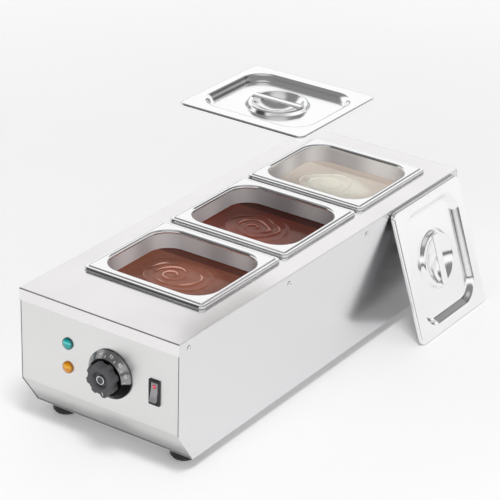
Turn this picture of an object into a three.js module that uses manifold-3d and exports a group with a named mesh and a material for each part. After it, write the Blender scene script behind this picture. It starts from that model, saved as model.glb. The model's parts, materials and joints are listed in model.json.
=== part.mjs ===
// Chocolate tempering machine with three lift-out pans, in millimetres.
// X runs to the right along the front, Y from the front to the back, Z up from the table.
import * as THREE from 'three';
import { mergeVertices } from 'three/addons/utils/BufferGeometryUtils.js';
import Module from 'manifold-3d';

const wasm = await Module();
wasm.setup();

// Fits between pieces
const gap = 0.3;
const runningGap = 0.4;
const cutOverrun = 2;

// Casing
const panFromSide = 28;
const roomUnderTank = 47;
const casingSheet = 1;
const frontFaceHeight = 119;
const chamferDepth = 29;
const lipHeight = 15.5;
const flangeHeight = 22;
const panelFlange = 14;
const panelTopLap = 3;

// Feet
const footHeight = 14;
const footRadius = 17;
const footFromSide = 28;
const footFromFront = 50;
const footCoreRadius = 14.5;
const footCollar = 2.6;
const footPad = 2;
const footStudRadius = 3;
const footStudLength = 9;
const footEdge = 1.2;

// Pans
const panLength = 176;
const panWidth = 162;
const panDepth = 100;
const panSheet = 0.8;
const panSpacing = 8;
const firstPanFromFront = 163.5;
const lastPanFromRear = 116.5;
const rimHeight = 5;
const sideRimWidth = 11;
const endRimWidth = 15.5;
const rimStep = 0.8;
const rimStepFromEdge = 4.4;
const rimStepRun = 1.2;
const rimCornerRadius = 7;
const rimEdgeRadius = 1.2;
const openingCornerRadius = 31;
const openingBend = 3;
const panTaper = 5;
const panFloorRadius = 14;
const cutOutClearance = 1.5;

// Chocolate
const chocolateBelowRim = 24;
const meniscusHeight = 0.8;
const meniscusWidth = 3;
const swirlHeight = 1.1;
const swirlTurns = 2.5;
const swirlReachShare = 0.8;
const swirlRingShares = [0.86, 0.72, 0.58, 0.44, 0.3, 0.15];

// Well tank
const tankClearance = 8;
const tankSheet = 1;
const tankCornerRadius = 14;
const tankDepthBelowPan = 20;
const tankFlange = 16;

// Heating element
const elementRadius = 4;
const elementBendRadius = 20;
const elementFromTankRear = 30;
const elementFrontBendBehindWall = 24;
const elementEndBeforeTank = 12;
const elementBendSteps = 4;
const elementLap = 0.2;
const elementPinRadius = 1.6;
const elementPinLength = 9;
const elementBarWidth = 12;
const elementBarThickness = 1.5;
const elementBarOverhang = 10;
const elementBarPostRadius = 3;
const elementBarShares = [0.25, 0.78];

// Temperature sensor
const bulbRadius = 3;
const bulbLength = 70;
const bulbStartShare = 0.36;
const clipWidth = 12;
const capillaryRadius = 1;
const capillaryDip = 11;

// Thermostat, dial and knob
const dialFromCentre = 18;
const dialBelowTop = 70;
const thermostatWidth = 42;
const thermostatHeight = 44;
const thermostatDepth = 30;
const bushRadius = 4.7;
const bushReach = 1.2;
const shaftRadius = 3;
const shaftInBody = 15;
const shaftInGrip = 5;
const thermostatScrewSpacing = 28;
const thermostatScrewRadius = 2;
const thermostatScrewHead = 3.5;
const thermostatScrewHeadHeight = 1.8;
const thermostatScrewDepth = 8;
const skirtRadius = 30.8;
const skirtFrontRadius = 23.8;
const skirtEdge = 2;
const skirtHeight = 9.5;
const skirtWall = 2;
const skirtOffPanel = 0.8;
const skirtHubRadius = 8;
const gripRadius = 19.8;
const gripLobe = 0.7;
const gripLobes = 8;
const gripPointsPerLobe = 6;
const gripPointerReach = 1.8;
const gripPointerAngle = -73.7;
const gripPointerSharpness = 60;
const gripHeight = 10.5;
const gripEdge = 2.4;
const gripDishRadius = 10.7;
const gripDishDepth = 4;
const gripDishSlope = 2;
const capRadius = 5.6;
const capHeight = 2.4;
const capEdge = 0.6;

// Pilot lamps
const lampFromSide = 71.4;
const greenLampBelowTop = 51.1;
const orangeLampBelowTop = 82.3;
const lampLensRadius = 7.5;
const lampLensEdge = 1.6;
const lampLensDome = 2;
const lampBarrelRadius = 5.6;
const lampCollarRadius = 7.2;
const lampCollarHeight = 4;
const lampBodyDepth = 24;

// Rocker switch
const switchFromSide = 34.5;
const switchBelowTop = 72.5;
const switchWidth = 15;
const switchHeight = 32;
const switchBezel = 2;
const switchBodyWidth = 12.8;
const switchBodyHeight = 28;
const switchBodyDepth = 21;
const switchWindowHeight = 26;
const rockerWidth = 10;
const rockerSwing = 10;
const rockerReach = 12;
const rockerFront = 5.4;
const rockerDip = 1.6;
const rockerBack = 3;
const rockerPivotBehindFace = 2;
const rockerPinRadius = 1.2;
const rockerPinLength = 0.7;
const redLensRadius = 2.7;
const redLensAbovePivot = 7.4;
const redLensSeat = 1.4;
const redLensDome = 1.8;

// Overheat cut-out, terminal block and leads
const cutoutRadius = 8;
const cutoutDepth = 9;
const cutoutFromCentre = 62;
const cutoutBelowTop = 60;
const cutoutEarWidth = 24;
const cutoutEarHeight = 8;
const terminalLength = 48;
const terminalDepth = 20;
const terminalHeight = 15;
const terminalBesideElement = 20;
const terminalFromFront = 58;
const terminalHoleRadius = 2.2;
const terminalHoleDepth = 6;
const terminalHoles = 4;
const leadRadius = 1.3;
const leadBend = 8;

// Cable gland in the rear panel
const glandFromSide = 46;
const glandAboveBottom = 26;
const glandThreadRadius = 7.8;
const glandHexRadius = 12;
const glandHexDepth = 7;
const glandDomeRadius = 10.4;
const glandTipRadius = 7.5;
const glandDomeLength = 15;
const glandInnerLength = 11;
const glandBoreRadius = 4.6;
const glandNutDepth = 4;

// Side screws, measured back from the front of the casing
const screwBelowTop = 11.5;
const screwFromEdge = 18.7;
const screwStationShares = [0, 0.346, 0.644, 1];
const screwRadius = 2;
const screwLength = 8;
const screwHeadRadius = 3.4;
const screwHeadHeight = 1.6;

// Lids
const lidSheet = 0.8;
const lidLap = 1.2;
const lidLip = 5;
const lidEdgeRadius = 1;
const lidRecessClearance = 2.2;
const lidRecessDepth = 8;
const lidRecessSlope = 4;
const lidRecessFillet = 1.4;
const bossRadius = 40;
const bossLap = 1.5;
const bossRise = 6;
const bossCrown = 35;
const bowlRadius = 32;
const bowlDepth = 13;
const handleWidth = 14;
const handleThickness = 1.5;
const handleLengthShare = 0.97;
const raisedLidSideShift = 16.4;
const raisedLidRise = 157.2;
const leaningLidFromRear = 89;
const leaningLidFootOut = 56.52;

// Facets
const cornerSteps = 5;
const smallSides = 10;
const footSides = 16;
const roundSides = 24;
const dishSides = 28;
const tubeSides = 8;
const hexSides = 6;
const bendSteps = 2;
const capSteps = 3;
const bowlSteps = 5;
const leadSteps = 14;
const capillarySteps = 40;

// Places worked out from the sizes above
const casingWidth = panLength + 2 * panFromSide;
const casingHeight = panDepth - rimHeight + tankDepthBelowPan + roomUnderTank;
const panPitch = panWidth + panSpacing;
const casingLength = firstPanFromFront + 2 * panPitch + lastPanFromRear;
const screwSpan = casingLength - 2 * screwFromEdge;
const screwStations = screwStationShares.map((share) => screwFromEdge + share * screwSpan);
const casingTop = footHeight + casingHeight;
const coverUnderside = casingTop - casingSheet;
const sideInside = casingWidth / 2 - casingSheet;
const panelFace = casingSheet + gap;
const panelBack = panelFace + casingSheet;
const panCentres = [0, 1, 2].map((index) => firstPanFromFront + index * panPitch);
const rimTop = casingTop + rimHeight;
const openingHalfX = panLength / 2 - sideRimWidth;
const openingHalfY = panWidth / 2 - endRimWidth;
const tankCentre = panCentres[1];
const tankHalfX = openingHalfX + panSheet + tankClearance;
const tankHalfY = panPitch + openingHalfY + panSheet + tankClearance;
const tankFloor = rimTop - panDepth - tankDepthBelowPan;
const tankUnderside = tankFloor - tankSheet;
const tankFrontWall = tankCentre - tankHalfY - tankSheet;
const tankRearWall = tankCentre + tankHalfY + tankSheet;
const elementHeight = tankUnderside - gap - elementRadius;
const dialHeight = casingTop - dialBelowTop;
const lampAcross = lampFromSide - casingWidth / 2;
const switchAcross = casingWidth / 2 - switchFromSide;
const glandAcross = casingWidth / 2 - glandFromSide;

// Finishes
function finish(color, roughness, metalness) {
  return new THREE.MeshStandardMaterial({ color, roughness, metalness });
}
const satinSteel = finish('#e2dfdf', 0.35, 0.9);
const polishedSteel = finish('#f2f2f3', 0.14, 1);
const plainSteel = finish('#b9babc', 0.4, 0.9);
const darkSteel = finish('#5b5650', 0.5, 0.8);
const chrome = finish('#dfe2e8', 0.08, 1);
const blackRubber = finish('#141416', 0.8, 0);
const blackPlastic = finish('#17171a', 0.45, 0);
const greyPlastic = finish('#56565a', 0.5, 0);
const rockerPlastic = finish('#8f8d92', 0.45, 0);
const whitePlastic = finish('#e9e6dd', 0.5, 0);
const copper = finish('#b06a3b', 0.3, 1);
const greenLens = finish('#159a90', 0.15, 0);
const orangeLens = finish('#e08a17', 0.15, 0);
const redLens = finish('#b3123a', 0.12, 0);
const leadCover = finish('#2f3f86', 0.6, 0);
const milkChocolate = finish('#8a5a4d', 0.2, 0);
const darkChocolate = finish('#5c342b', 0.2, 0);
const whiteChocolate = finish('#e6dcc6', 0.2, 0);

// Merges the corners that facets share and drops facets with no area
function welded(geometry) {
  const bare = geometry.clone();
  for (const name of Object.keys(bare.attributes)) {
    if (name !== 'position') bare.deleteAttribute(name);
  }
  const merged = mergeVertices(bare);
  const corners = merged.index.array;
  const kept = [];
  for (let i = 0; i < corners.length; i += 3) {
    const [a, b, c] = [corners[i], corners[i + 1], corners[i + 2]];
    if (a !== b && b !== c && c !== a) kept.push(a, b, c);
  }
  merged.setIndex(kept);
  return merged;
}

function solid(geometry) {
  const closed = welded(geometry);
  return new wasm.Manifold(new wasm.Mesh({
    numProp: 3,
    vertProperties: new Float32Array(closed.attributes.position.array),
    triVerts: new Uint32Array(closed.index.array),
  }));
}

function geometryOf(body) {
  const mesh = body.getMesh();
  const geometry = new THREE.BufferGeometry();
  geometry.setAttribute('position', new THREE.BufferAttribute(mesh.vertProperties, 3));
  geometry.setIndex(new THREE.BufferAttribute(mesh.triVerts, 1));
  return geometry;
}

function joined(...geometries) {
  return geometryOf(geometries.map(solid).reduce((whole, piece) => whole.add(piece)));
}

function cut(geometry, ...tools) {
  return geometryOf(tools.map(solid).reduce((rest, tool) => rest.subtract(tool), solid(geometry)));
}

// A box between two values on each axis
function block([x0, x1], [y0, y1], [z0, z1]) {
  const box = new THREE.BoxGeometry(x1 - x0, y1 - y0, z1 - z0);
  return box.translate((x0 + x1) / 2, (y0 + y1) / 2, (z0 + z1) / 2);
}

// A round bar between two places on the X, Y or Z axis
function bar(axis, radius, start, end, sides = smallSides) {
  const geometry = new THREE.CylinderGeometry(radius, radius, end - start, sides);
  geometry.translate(0, (start + end) / 2, 0);
  if (axis === 'x') geometry.rotateZ(-Math.PI / 2);
  if (axis === 'z') geometry.rotateX(Math.PI / 2);
  return geometry;
}

// A body turned about the Z axis from a closed outline of radius and height
function turned(outline, sides = roundSides) {
  const points = outline.map(([radius, height]) => new THREE.Vector2(radius, height));
  if (THREE.ShapeUtils.area(points) < 0) points.reverse();
  const geometry = new THREE.LatheGeometry([...points, points[0]], sides);
  return geometry.rotateX(Math.PI / 2);
}

// A body turned like a knob, whose outline's heights run forward from the casing's front
function turnedForward(outline, sides = roundSides) {
  return turned(outline, sides).rotateX(Math.PI / 2);
}

// A rounded rectangle, anticlockwise seen from above
function ring(halfX, halfY, radius, z) {
  const points = [];
  const quarter = Math.PI / 2;
  for (let corner = 0; corner < 4; corner += 1) {
    const signX = corner === 0 || corner === 3 ? 1 : -1;
    const signY = corner < 2 ? 1 : -1;
    for (let step = 0; step <= cornerSteps; step += 1) {
      const angle = quarter * (corner + step / cornerSteps);
      const x = signX * (halfX - radius) + radius * Math.cos(angle);
      const y = signY * (halfY - radius) + radius * Math.sin(angle);
      points.push(new THREE.Vector3(x, y, z));
    }
  }
  return points;
}

function middle(points) {
  const sum = points.reduce((total, point) => total.add(point), new THREE.Vector3());
  return sum.divideScalar(points.length);
}

// A closed skin over rings of points, each end closed by a fan
function loft(rings) {
  const count = rings[0].length;
  const corners = rings.flat();
  const faces = [];
  for (let level = 0; level < rings.length - 1; level += 1) {
    for (let i = 0; i < count; i += 1) {
      const here = level * count + i;
      const next = level * count + (i + 1) % count;
      faces.push(here, next, next + count, here, next + count, here + count);
    }
  }
  const last = (rings.length - 1) * count;
  const start = corners.push(middle(rings[0])) - 1;
  const end = corners.push(middle(rings[rings.length - 1])) - 1;
  for (let i = 0; i < count; i += 1) {
    const next = (i + 1) % count;
    faces.push(start, next, i, end, last + i, last + next);
  }
  const geometry = new THREE.BufferGeometry().setFromPoints(corners);
  geometry.setIndex(faces);
  return geometry;
}

// A round tube along a curve
function tube(curve, radius, steps) {
  const section = new THREE.Shape().absarc(0, 0, radius, 0, 2 * Math.PI);
  return new THREE.ExtrudeGeometry(section, {
    steps,
    extrudePath: curve,
    curveSegments: tubeSides / 2,
    bevelEnabled: false,
  });
}

// Radius and rise of points on a spherical cap, from its rim to its middle
function capArc(radius, rise, steps = capSteps) {
  const sphere = (radius ** 2 + rise ** 2) / (2 * rise);
  const half = Math.asin(radius / sphere);
  return Array.from({ length: steps + 1 }, (_, index) => {
    const angle = half * (1 - index / steps);
    return [sphere * Math.sin(angle), sphere * (Math.cos(angle) - Math.cos(half))];
  });
}

// Sine and cosine at even steps through a quarter turn
function quarterTurn() {
  return Array.from({ length: bendSteps + 1 }, (_, index) => {
    const angle = Math.PI / 2 * index / bendSteps;
    return [Math.sin(angle), Math.cos(angle)];
  });
}

// Both edges of a sheet whose outer face lies at one side's distance from the middle
function sheetAt(side, distance) {
  return [side * distance, side * (distance - casingSheet)].sort((a, b) => a - b);
}

const machine = new THREE.Group();

function place(name, geometry, material, parent = machine) {
  const mesh = new THREE.Mesh(welded(geometry), material);
  mesh.name = name;
  parent.add(mesh);
  return mesh;
}

// Top cover: one sheet with front and rear lips, side flanges and three cut-outs
function topCover() {
  const half = casingWidth / 2;
  const sheetShape = new THREE.Shape([
    new THREE.Vector2(-half, 0),
    new THREE.Vector2(half, 0),
    new THREE.Vector2(half, casingLength),
    new THREE.Vector2(-half, casingLength),
  ]);
  const cutHalfX = openingHalfX + panSheet + cutOutClearance;
  const cutHalfY = openingHalfY + panSheet + cutOutClearance;
  const cutRadius = openingCornerRadius + panSheet + cutOutClearance;
  for (const centre of panCentres) {
    const outline = ring(cutHalfX, cutHalfY, cutRadius, 0);
    sheetShape.holes.push(new THREE.Path(outline.map(({ x, y }) => new THREE.Vector2(x, y + centre))));
  }
  const sheet = new THREE.ExtrudeGeometry(sheetShape, { depth: casingSheet, bevelEnabled: false });
  sheet.translate(0, 0, coverUnderside);
  const lipDrop = [casingTop - lipHeight, casingTop];
  const frontLip = block([-half, half], [0, casingSheet], lipDrop);
  const rearLip = block([-half, half], [casingLength - casingSheet, casingLength], lipDrop);
  const flangeEnds = [panelBack + gap, casingLength - panelBack - gap];
  const flangeDrop = [casingTop - flangeHeight, casingTop];
  const flanges = [-1, 1].map((side) => block(sheetAt(side, sideInside - gap), flangeEnds, flangeDrop));
  return cut(joined(sheet, frontLip, rearLip, ...flanges), ...screwHoles(-half, half));
}

function screwHoles(from, to) {
  return screwStations.map((station) => {
    const hole = bar('x', screwRadius + gap, from - cutOverrun, to + cutOverrun);
    return hole.translate(0, station, casingTop - screwBelowTop);
  });
}

// Side outline: a rectangle with its lower front corner cut off along the chamfer
function sideOutline(front, rear, low, high) {
  const chamferDrop = casingHeight - frontFaceHeight;
  const slope = chamferDrop / chamferDepth;
  const chamferTop = footHeight + chamferDrop - front * slope;
  const chamferFoot = chamferDepth - (low - footHeight) / slope;
  return new THREE.Shape([
    new THREE.Vector2(chamferFoot, low),
    new THREE.Vector2(rear, low),
    new THREE.Vector2(rear, high),
    new THREE.Vector2(front, high),
    new THREE.Vector2(front, chamferTop),
  ]);
}

// Extrudes an outline drawn in Y and Z along X
function alongX(shape, from, to) {
  const geometry = new THREE.ExtrudeGeometry(shape, { depth: to - from, bevelEnabled: false });
  geometry.rotateX(Math.PI / 2).rotateZ(Math.PI / 2);
  return geometry.translate(from, 0, 0);
}

function sidePanel(side) {
  const shape = sideOutline(panelFace, casingLength - panelFace, footHeight, coverUnderside - gap);
  const edges = sheetAt(side, casingWidth / 2);
  return cut(alongX(shape, ...edges), ...screwHoles(...edges));
}

// Front panel: a strip bent along the chamfer, with return flanges behind the side panels
function frontPanel() {
  const chamferDrop = casingHeight - frontFaceHeight;
  const angle = Math.atan2(chamferDepth, chamferDrop);
  const bendShift = casingSheet * Math.tan(angle / 2);
  const bend = footHeight + chamferDrop;
  const top = coverUnderside - gap - panelTopLap;
  const low = footHeight + casingSheet + gap;
  const footOf = (offset) => panelFace + (bend - low) * Math.tan(angle) + offset / Math.cos(angle);
  const returnEnd = chamferDepth + panelFlange;
  const strip = new THREE.Shape([
    new THREE.Vector2(panelFace, top),
    new THREE.Vector2(panelFace, bend),
    new THREE.Vector2(footOf(0), low),
    new THREE.Vector2(returnEnd, low),
    new THREE.Vector2(returnEnd, low + casingSheet),
    new THREE.Vector2(footOf(casingSheet) - casingSheet * Math.tan(angle), low + casingSheet),
    new THREE.Vector2(panelBack, bend + bendShift),
    new THREE.Vector2(panelBack, top),
  ]);
  const outside = sideInside - gap;
  const flangeShape = new THREE.Shape([
    new THREE.Vector2(panelFace, casingTop - flangeHeight - gap),
    new THREE.Vector2(panelFace, bend),
    new THREE.Vector2(footOf(0), low),
    new THREE.Vector2(returnEnd, low),
    new THREE.Vector2(panelFace + panelFlange, bend + casingSheet),
    new THREE.Vector2(panelFace + panelFlange, casingTop - flangeHeight - gap),
  ]);
  const flanges = [-1, 1].map((side) => alongX(flangeShape, ...sheetAt(side, outside)));
  const panel = joined(alongX(strip, -outside, outside), ...flanges);
  const through = [panelFace - cutOverrun, panelBack + cutOverrun];
  const roundHole = (radius, x, z) => bar('y', radius + gap, ...through, roundSides).translate(x, 0, z);
  const screwHole = (side) => {
    const x = dialFromCentre + side * thermostatScrewSpacing / 2;
    return bar('y', thermostatScrewRadius + gap, ...through).translate(x, 0, dialHeight);
  };
  const halfBodyX = switchBodyWidth / 2 + gap;
  const halfBodyZ = switchBodyHeight / 2 + gap;
  const switchCentre = casingTop - switchBelowTop;
  const switchHole = block(
    [switchAcross - halfBodyX, switchAcross + halfBodyX],
    through,
    [switchCentre - halfBodyZ, switchCentre + halfBodyZ],
  );
  return cut(
    panel,
    roundHole(bushRadius, dialFromCentre, dialHeight),
    roundHole(lampBarrelRadius, lampAcross, casingTop - greenLampBelowTop),
    roundHole(lampBarrelRadius, lampAcross, casingTop - orangeLampBelowTop),
    screwHole(-1),
    screwHole(1),
    switchHole,
  );
}

function rearPanel() {
  const outside = sideInside - gap;
  const rear = casingLength - panelFace;
  const depth = [rear - casingSheet, rear];
  const flangeDepth = [rear - panelFlange, rear];
  const low = footHeight + casingSheet + gap;
  const sheet = block([-outside, outside], depth, [low, coverUnderside - gap - panelTopLap]);
  const foot = block([-outside, outside], flangeDepth, [low, low + casingSheet]);
  const flangeSpan = [low, casingTop - flangeHeight - gap];
  const flanges = [-1, 1].map((side) => block(sheetAt(side, outside), flangeDepth, flangeSpan));
  const through = [rear - casingSheet - cutOverrun, rear + cutOverrun];
  const hole = bar('y', glandThreadRadius + gap, ...through, roundSides);
  hole.translate(glandAcross, 0, footHeight + glandAboveBottom);
  return cut(joined(sheet, foot, ...flanges), hole);
}

// Bottom plate with upturned side flanges and a hole for each foot's stud
function bottomPlate() {
  const outside = sideInside - gap;
  const ends = [chamferDepth, casingLength - panelFace - casingSheet];
  const sheet = block([-outside, outside], ends, [footHeight, footHeight + casingSheet]);
  const flangeEnds = [
    chamferDepth + panelFlange + gap,
    casingLength - panelFace - panelFlange - gap,
  ];
  const flangeRise = [footHeight, footHeight + panelFlange];
  const flanges = [-1, 1].map((side) => block(sheetAt(side, outside), flangeEnds, flangeRise));
  const through = [footHeight - cutOverrun, footHeight + casingSheet + cutOverrun];
  const holes = footPlaces().map(([x, y]) => bar('z', footStudRadius + gap, ...through).translate(x, y, 0));
  return cut(joined(sheet, ...flanges), ...holes);
}

function footPlaces() {
  const x = casingWidth / 2 - footFromSide;
  const rear = casingLength - footFromFront;
  return [[-x, footFromFront], [x, footFromFront], [-x, rear], [x, rear]];
}

place('top_cover', topCover(), satinSteel);
place('front_panel', frontPanel(), satinSteel);
place('side_panel_left', sidePanel(-1), satinSteel);
place('side_panel_right', sidePanel(1), satinSteel);
place('rear_panel', rearPanel(), satinSteel);
place('bottom_plate', bottomPlate(), plainSteel);

// Side screws with domed heads
function sideScrew() {
  const head = turned([[0, 0], ...capArc(screwHeadRadius, screwHeadHeight)], smallSides);
  const shank = bar('z', screwRadius, -screwLength, casingSheet);
  return joined(head, shank).rotateY(Math.PI / 2);
}

for (const [side, sideName] of [[-1, 'left'], [1, 'right']]) {
  screwStations.forEach((station, index) => {
    const screw = place(`side_screw_${sideName}_${index + 1}`, sideScrew(), chrome);
    screw.position.set(side * (casingWidth / 2 + gap), station, casingTop - screwBelowTop);
    if (side < 0) screw.rotation.z = Math.PI;
  });
}

// Feet: a black core with its stud, and a chromed sleeve round it
function footCore() {
  const sleeveRoom = footCoreRadius - casingSheet - gap;
  const collarLow = footHeight - gap - footCollar;
  return turned([
    [0, 0],
    [footCoreRadius, 0],
    [footCoreRadius, footPad],
    [sleeveRoom, footPad],
    [sleeveRoom, collarLow],
    [footCoreRadius, collarLow],
    [footCoreRadius, footHeight - gap],
    [footStudRadius, footHeight - gap],
    [footStudRadius, footHeight - gap + footStudLength],
    [0, footHeight - gap + footStudLength],
  ], footSides);
}

function footSleeve() {
  const inside = footCoreRadius - casingSheet;
  const low = footPad + gap;
  const high = footHeight - 2 * gap - footCollar;
  return turned([
    [inside, low],
    [footRadius - footEdge, low],
    [footRadius, low + footEdge],
    [footRadius, high - footEdge],
    [footRadius - footEdge, high],
    [inside, high],
  ], footSides);
}

const footNames = ['front_left', 'front_right', 'rear_left', 'rear_right'];
footPlaces().forEach(([x, y], index) => {
  const foot = new THREE.Group();
  foot.position.set(x, y, 0);
  machine.add(foot);
  place(`foot_core_${footNames[index]}`, footCore(), blackRubber, foot);
  place(`foot_sleeve_${footNames[index]}`, footSleeve(), chrome, foot);
});

// Well tank under the pans, hung from the cover by its flange
function wellTank() {
  const top = coverUnderside - gap - casingTop;
  const floor = tankFloor - casingTop;
  const low = floor - tankSheet;
  const bend = tankCornerRadius / 2;
  const outX = tankHalfX + tankSheet;
  const outY = tankHalfY + tankSheet;
  const outRadius = tankCornerRadius + tankSheet;
  const flangeX = outX + tankFlange;
  const flangeY = outY + tankFlange;
  return loft([
    ring(outX - bend, outY - bend, outRadius - bend, low),
    ring(outX, outY, outRadius, low + bend),
    ring(outX, outY, outRadius, top - tankSheet),
    ring(flangeX, flangeY, outRadius, top - tankSheet),
    ring(flangeX, flangeY, outRadius, top),
    ring(tankHalfX, tankHalfY, tankCornerRadius, top),
    ring(tankHalfX, tankHalfY, tankCornerRadius, floor + bend),
    ring(tankHalfX - bend, tankHalfY - bend, tankCornerRadius - bend, floor),
  ]);
}

const tank = place('well_tank', wellTank(), plainSteel);
tank.position.set(0, tankCentre, casingTop);

function alongTank(share) {
  return THREE.MathUtils.lerp(tankFrontWall, tankRearWall, share);
}

// Heating element: one tube in four runs under the tank, with a pin at each end
function elementRuns() {
  const spread = 2 * elementBendRadius;
  return [-1.5, -0.5, 0.5, 1.5].map((share) => share * spread);
}

function elementBend(x, y, side) {
  const points = Array.from({ length: 2 * elementBendSteps + 1 }, (_, index) => {
    const angle = Math.PI / 2 * index / elementBendSteps;
    const along = side * elementBendRadius * Math.sin(angle);
    return new THREE.Vector3(x - elementBendRadius * Math.cos(angle), y + along, 0);
  });
  return tube(new THREE.CatmullRomCurve3(points), elementRadius, 2 * elementBendSteps);
}

function heatingElement() {
  const runs = elementRuns();
  const end = tankFrontWall - elementEndBeforeTank;
  const frontBend = tankFrontWall + elementFrontBendBehindWall + elementBendRadius;
  const rearBend = tankRearWall - elementFromTankRear - elementBendRadius;
  const starts = [end, frontBend, frontBend, end];
  const straights = runs.map((x, index) => {
    const straight = bar('y', elementRadius, starts[index] - elementLap, rearBend + elementLap, tubeSides);
    return straight.translate(x, 0, 0);
  });
  const pins = [runs[0], runs[3]].map((x) => {
    const pin = bar('y', elementPinRadius, end - elementPinLength, end + elementPinLength, tubeSides);
    return pin.translate(x, 0, 0);
  });
  return joined(
    ...straights,
    elementBend((runs[0] + runs[1]) / 2, rearBend, 1),
    elementBend((runs[1] + runs[2]) / 2, frontBend, -1),
    elementBend((runs[2] + runs[3]) / 2, rearBend, 1),
    ...pins,
  );
}

// A flat bar under the runs, with two posts that reach up to the tank
function elementBar() {
  const runs = elementRuns();
  const high = -elementRadius - gap;
  const half = runs[3] + elementRadius + elementBarOverhang;
  const strip = block(
    [-half, half],
    [-elementBarWidth / 2, elementBarWidth / 2],
    [high - elementBarThickness, high],
  );
  const posts = [-elementBendRadius * 2, elementBendRadius * 2].map((x) => {
    return bar('z', elementBarPostRadius, high - elementBarThickness, elementRadius).translate(x, 0, 0);
  });
  return joined(strip, ...posts);
}

const element = place('heating_element', heatingElement(), darkSteel);
element.position.z = elementHeight;
['element_bar_front', 'element_bar_rear'].forEach((name, index) => {
  place(name, elementBar(), plainSteel).position.set(0, alongTank(elementBarShares[index]), elementHeight);
});

// Sensor bulb between the middle runs, its clip, and the capillary tube to the thermostat
const bulbStart = alongTank(bulbStartShare);
const bulbHeight = tankUnderside - gap - bulbRadius;

function bulbClip() {
  const inside = bulbRadius + gap;
  const outside = inside + casingSheet;
  const depth = [-clipWidth / 2, clipWidth / 2];
  const strap = block([-outside, outside], depth, [-outside, -inside]);
  const legs = [-1, 1].map((side) => block(sheetAt(side, outside), depth, [-outside, bulbRadius]));
  return joined(strap, ...legs);
}

function capillaryTube() {
  const thermostatLow = dialHeight - thermostatHeight / 2 - gap;
  const thermostatMiddle = panelBack + gap + thermostatDepth / 2;
  const under = tankUnderside - capillaryDip;
  const frontArc = tankFrontWall + elementFrontBendBehindWall;
  const barMiddle = alongTank(elementBarShares[0]);
  const route = new THREE.CatmullRomCurve3([
    new THREE.Vector3(dialFromCentre, thermostatMiddle, thermostatLow),
    new THREE.Vector3(dialFromCentre, thermostatMiddle, thermostatLow - capillaryDip),
    new THREE.Vector3(dialFromCentre / 2, (thermostatMiddle + tankFrontWall) / 2, under),
    new THREE.Vector3(0, frontArc, under),
    new THREE.Vector3(0, frontArc + elementRadius * 2, under),
    new THREE.Vector3(0, barMiddle - elementBarWidth, bulbHeight),
    new THREE.Vector3(0, bulbStart - elementBarWidth, bulbHeight),
    new THREE.Vector3(0, bulbStart - gap, bulbHeight),
  ], false, 'centripetal');
  return tube(route, capillaryRadius, capillarySteps);
}

const bulbMiddle = new THREE.Vector3(0, bulbStart + bulbLength / 2, bulbHeight);
const bulb = bar('y', bulbRadius, -bulbLength / 2, bulbLength / 2);
place('sensor_bulb', bulb, copper).position.copy(bulbMiddle);
place('bulb_clip', bulbClip(), plainSteel).position.copy(bulbMiddle);
place('capillary_tube', capillaryTube(), copper);

// Thermostat behind the front panel
function thermostatBody() {
  const face = panelBack + gap;
  const body = block(
    [-thermostatWidth / 2, thermostatWidth / 2],
    [face, face + thermostatDepth],
    [-thermostatHeight / 2, thermostatHeight / 2],
  );
  const bush = bar('y', bushRadius, panelFace - bushReach, face + cutOverrun, roundSides);
  const boreEnd = face + shaftInBody + gap;
  const bore = bar('y', shaftRadius + runningGap, panelFace - bushReach - cutOverrun, boreEnd, roundSides);
  const screwHoleEnd = panelFace + thermostatScrewDepth + gap;
  const holes = [-1, 1].map((side) => {
    const hole = bar('y', thermostatScrewRadius + gap, panelFace, screwHoleEnd);
    return hole.translate(side * thermostatScrewSpacing / 2, 0, 0);
  });
  return cut(joined(body, bush), bore, ...holes);
}

function thermostatScrew() {
  const head = bar('y', thermostatScrewHead, -thermostatScrewHeadHeight, 0);
  const shank = bar('y', thermostatScrewRadius, -thermostatScrewHeadHeight / 2, thermostatScrewDepth);
  return joined(head, shank);
}

const controls = new THREE.Group();
controls.position.set(dialFromCentre, 0, dialHeight);
machine.add(controls);
place('thermostat_body', thermostatBody(), whitePlastic, controls);
for (const [side, sideName] of [[-1, 'left'], [1, 'right']]) {
  const screw = place(`thermostat_screw_${sideName}`, thermostatScrew(), chrome, controls);
  screw.position.set(side * thermostatScrewSpacing / 2, panelFace - gap, 0);
}

// Dial skirt, lobed grip, cap and shaft, which turn together
const skirtBack = skirtOffPanel - panelFace;
const skirtFront = skirtBack + skirtHeight;
const gripBack = skirtFront + gap;
const gripFront = gripBack + gripHeight;

function dialSkirt() {
  const bore = shaftRadius + gap;
  const inner = skirtRadius - skirtWall;
  const innerFront = skirtFrontRadius - skirtWall / 2;
  return turnedForward([
    [bore, skirtBack + skirtEdge],
    [skirtHubRadius, skirtBack + skirtEdge],
    [skirtHubRadius, skirtFront - skirtWall],
    [innerFront, skirtFront - skirtWall],
    [inner, skirtBack + skirtEdge],
    [inner, skirtBack],
    [skirtRadius, skirtBack],
    [skirtRadius, skirtBack + skirtEdge],
    [skirtFrontRadius, skirtFront],
    [bore, skirtFront],
  ], dishSides);
}

// A ring whose edge has round lobes, with a longer one as the pointer
function lobedRing(radius, lobe, pointer, z) {
  const count = gripLobes * gripPointsPerLobe;
  return Array.from({ length: count }, (_, index) => {
    const fromPointer = 2 * Math.PI * index / count;
    const point = Math.max(0, Math.cos(fromPointer)) ** gripPointerSharpness;
    const reach = radius + lobe * Math.cos(gripLobes * fromPointer) + pointer * point;
    const angle = fromPointer + THREE.MathUtils.degToRad(gripPointerAngle);
    return new THREE.Vector3(reach * Math.cos(angle), reach * Math.sin(angle), z);
  });
}

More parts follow.
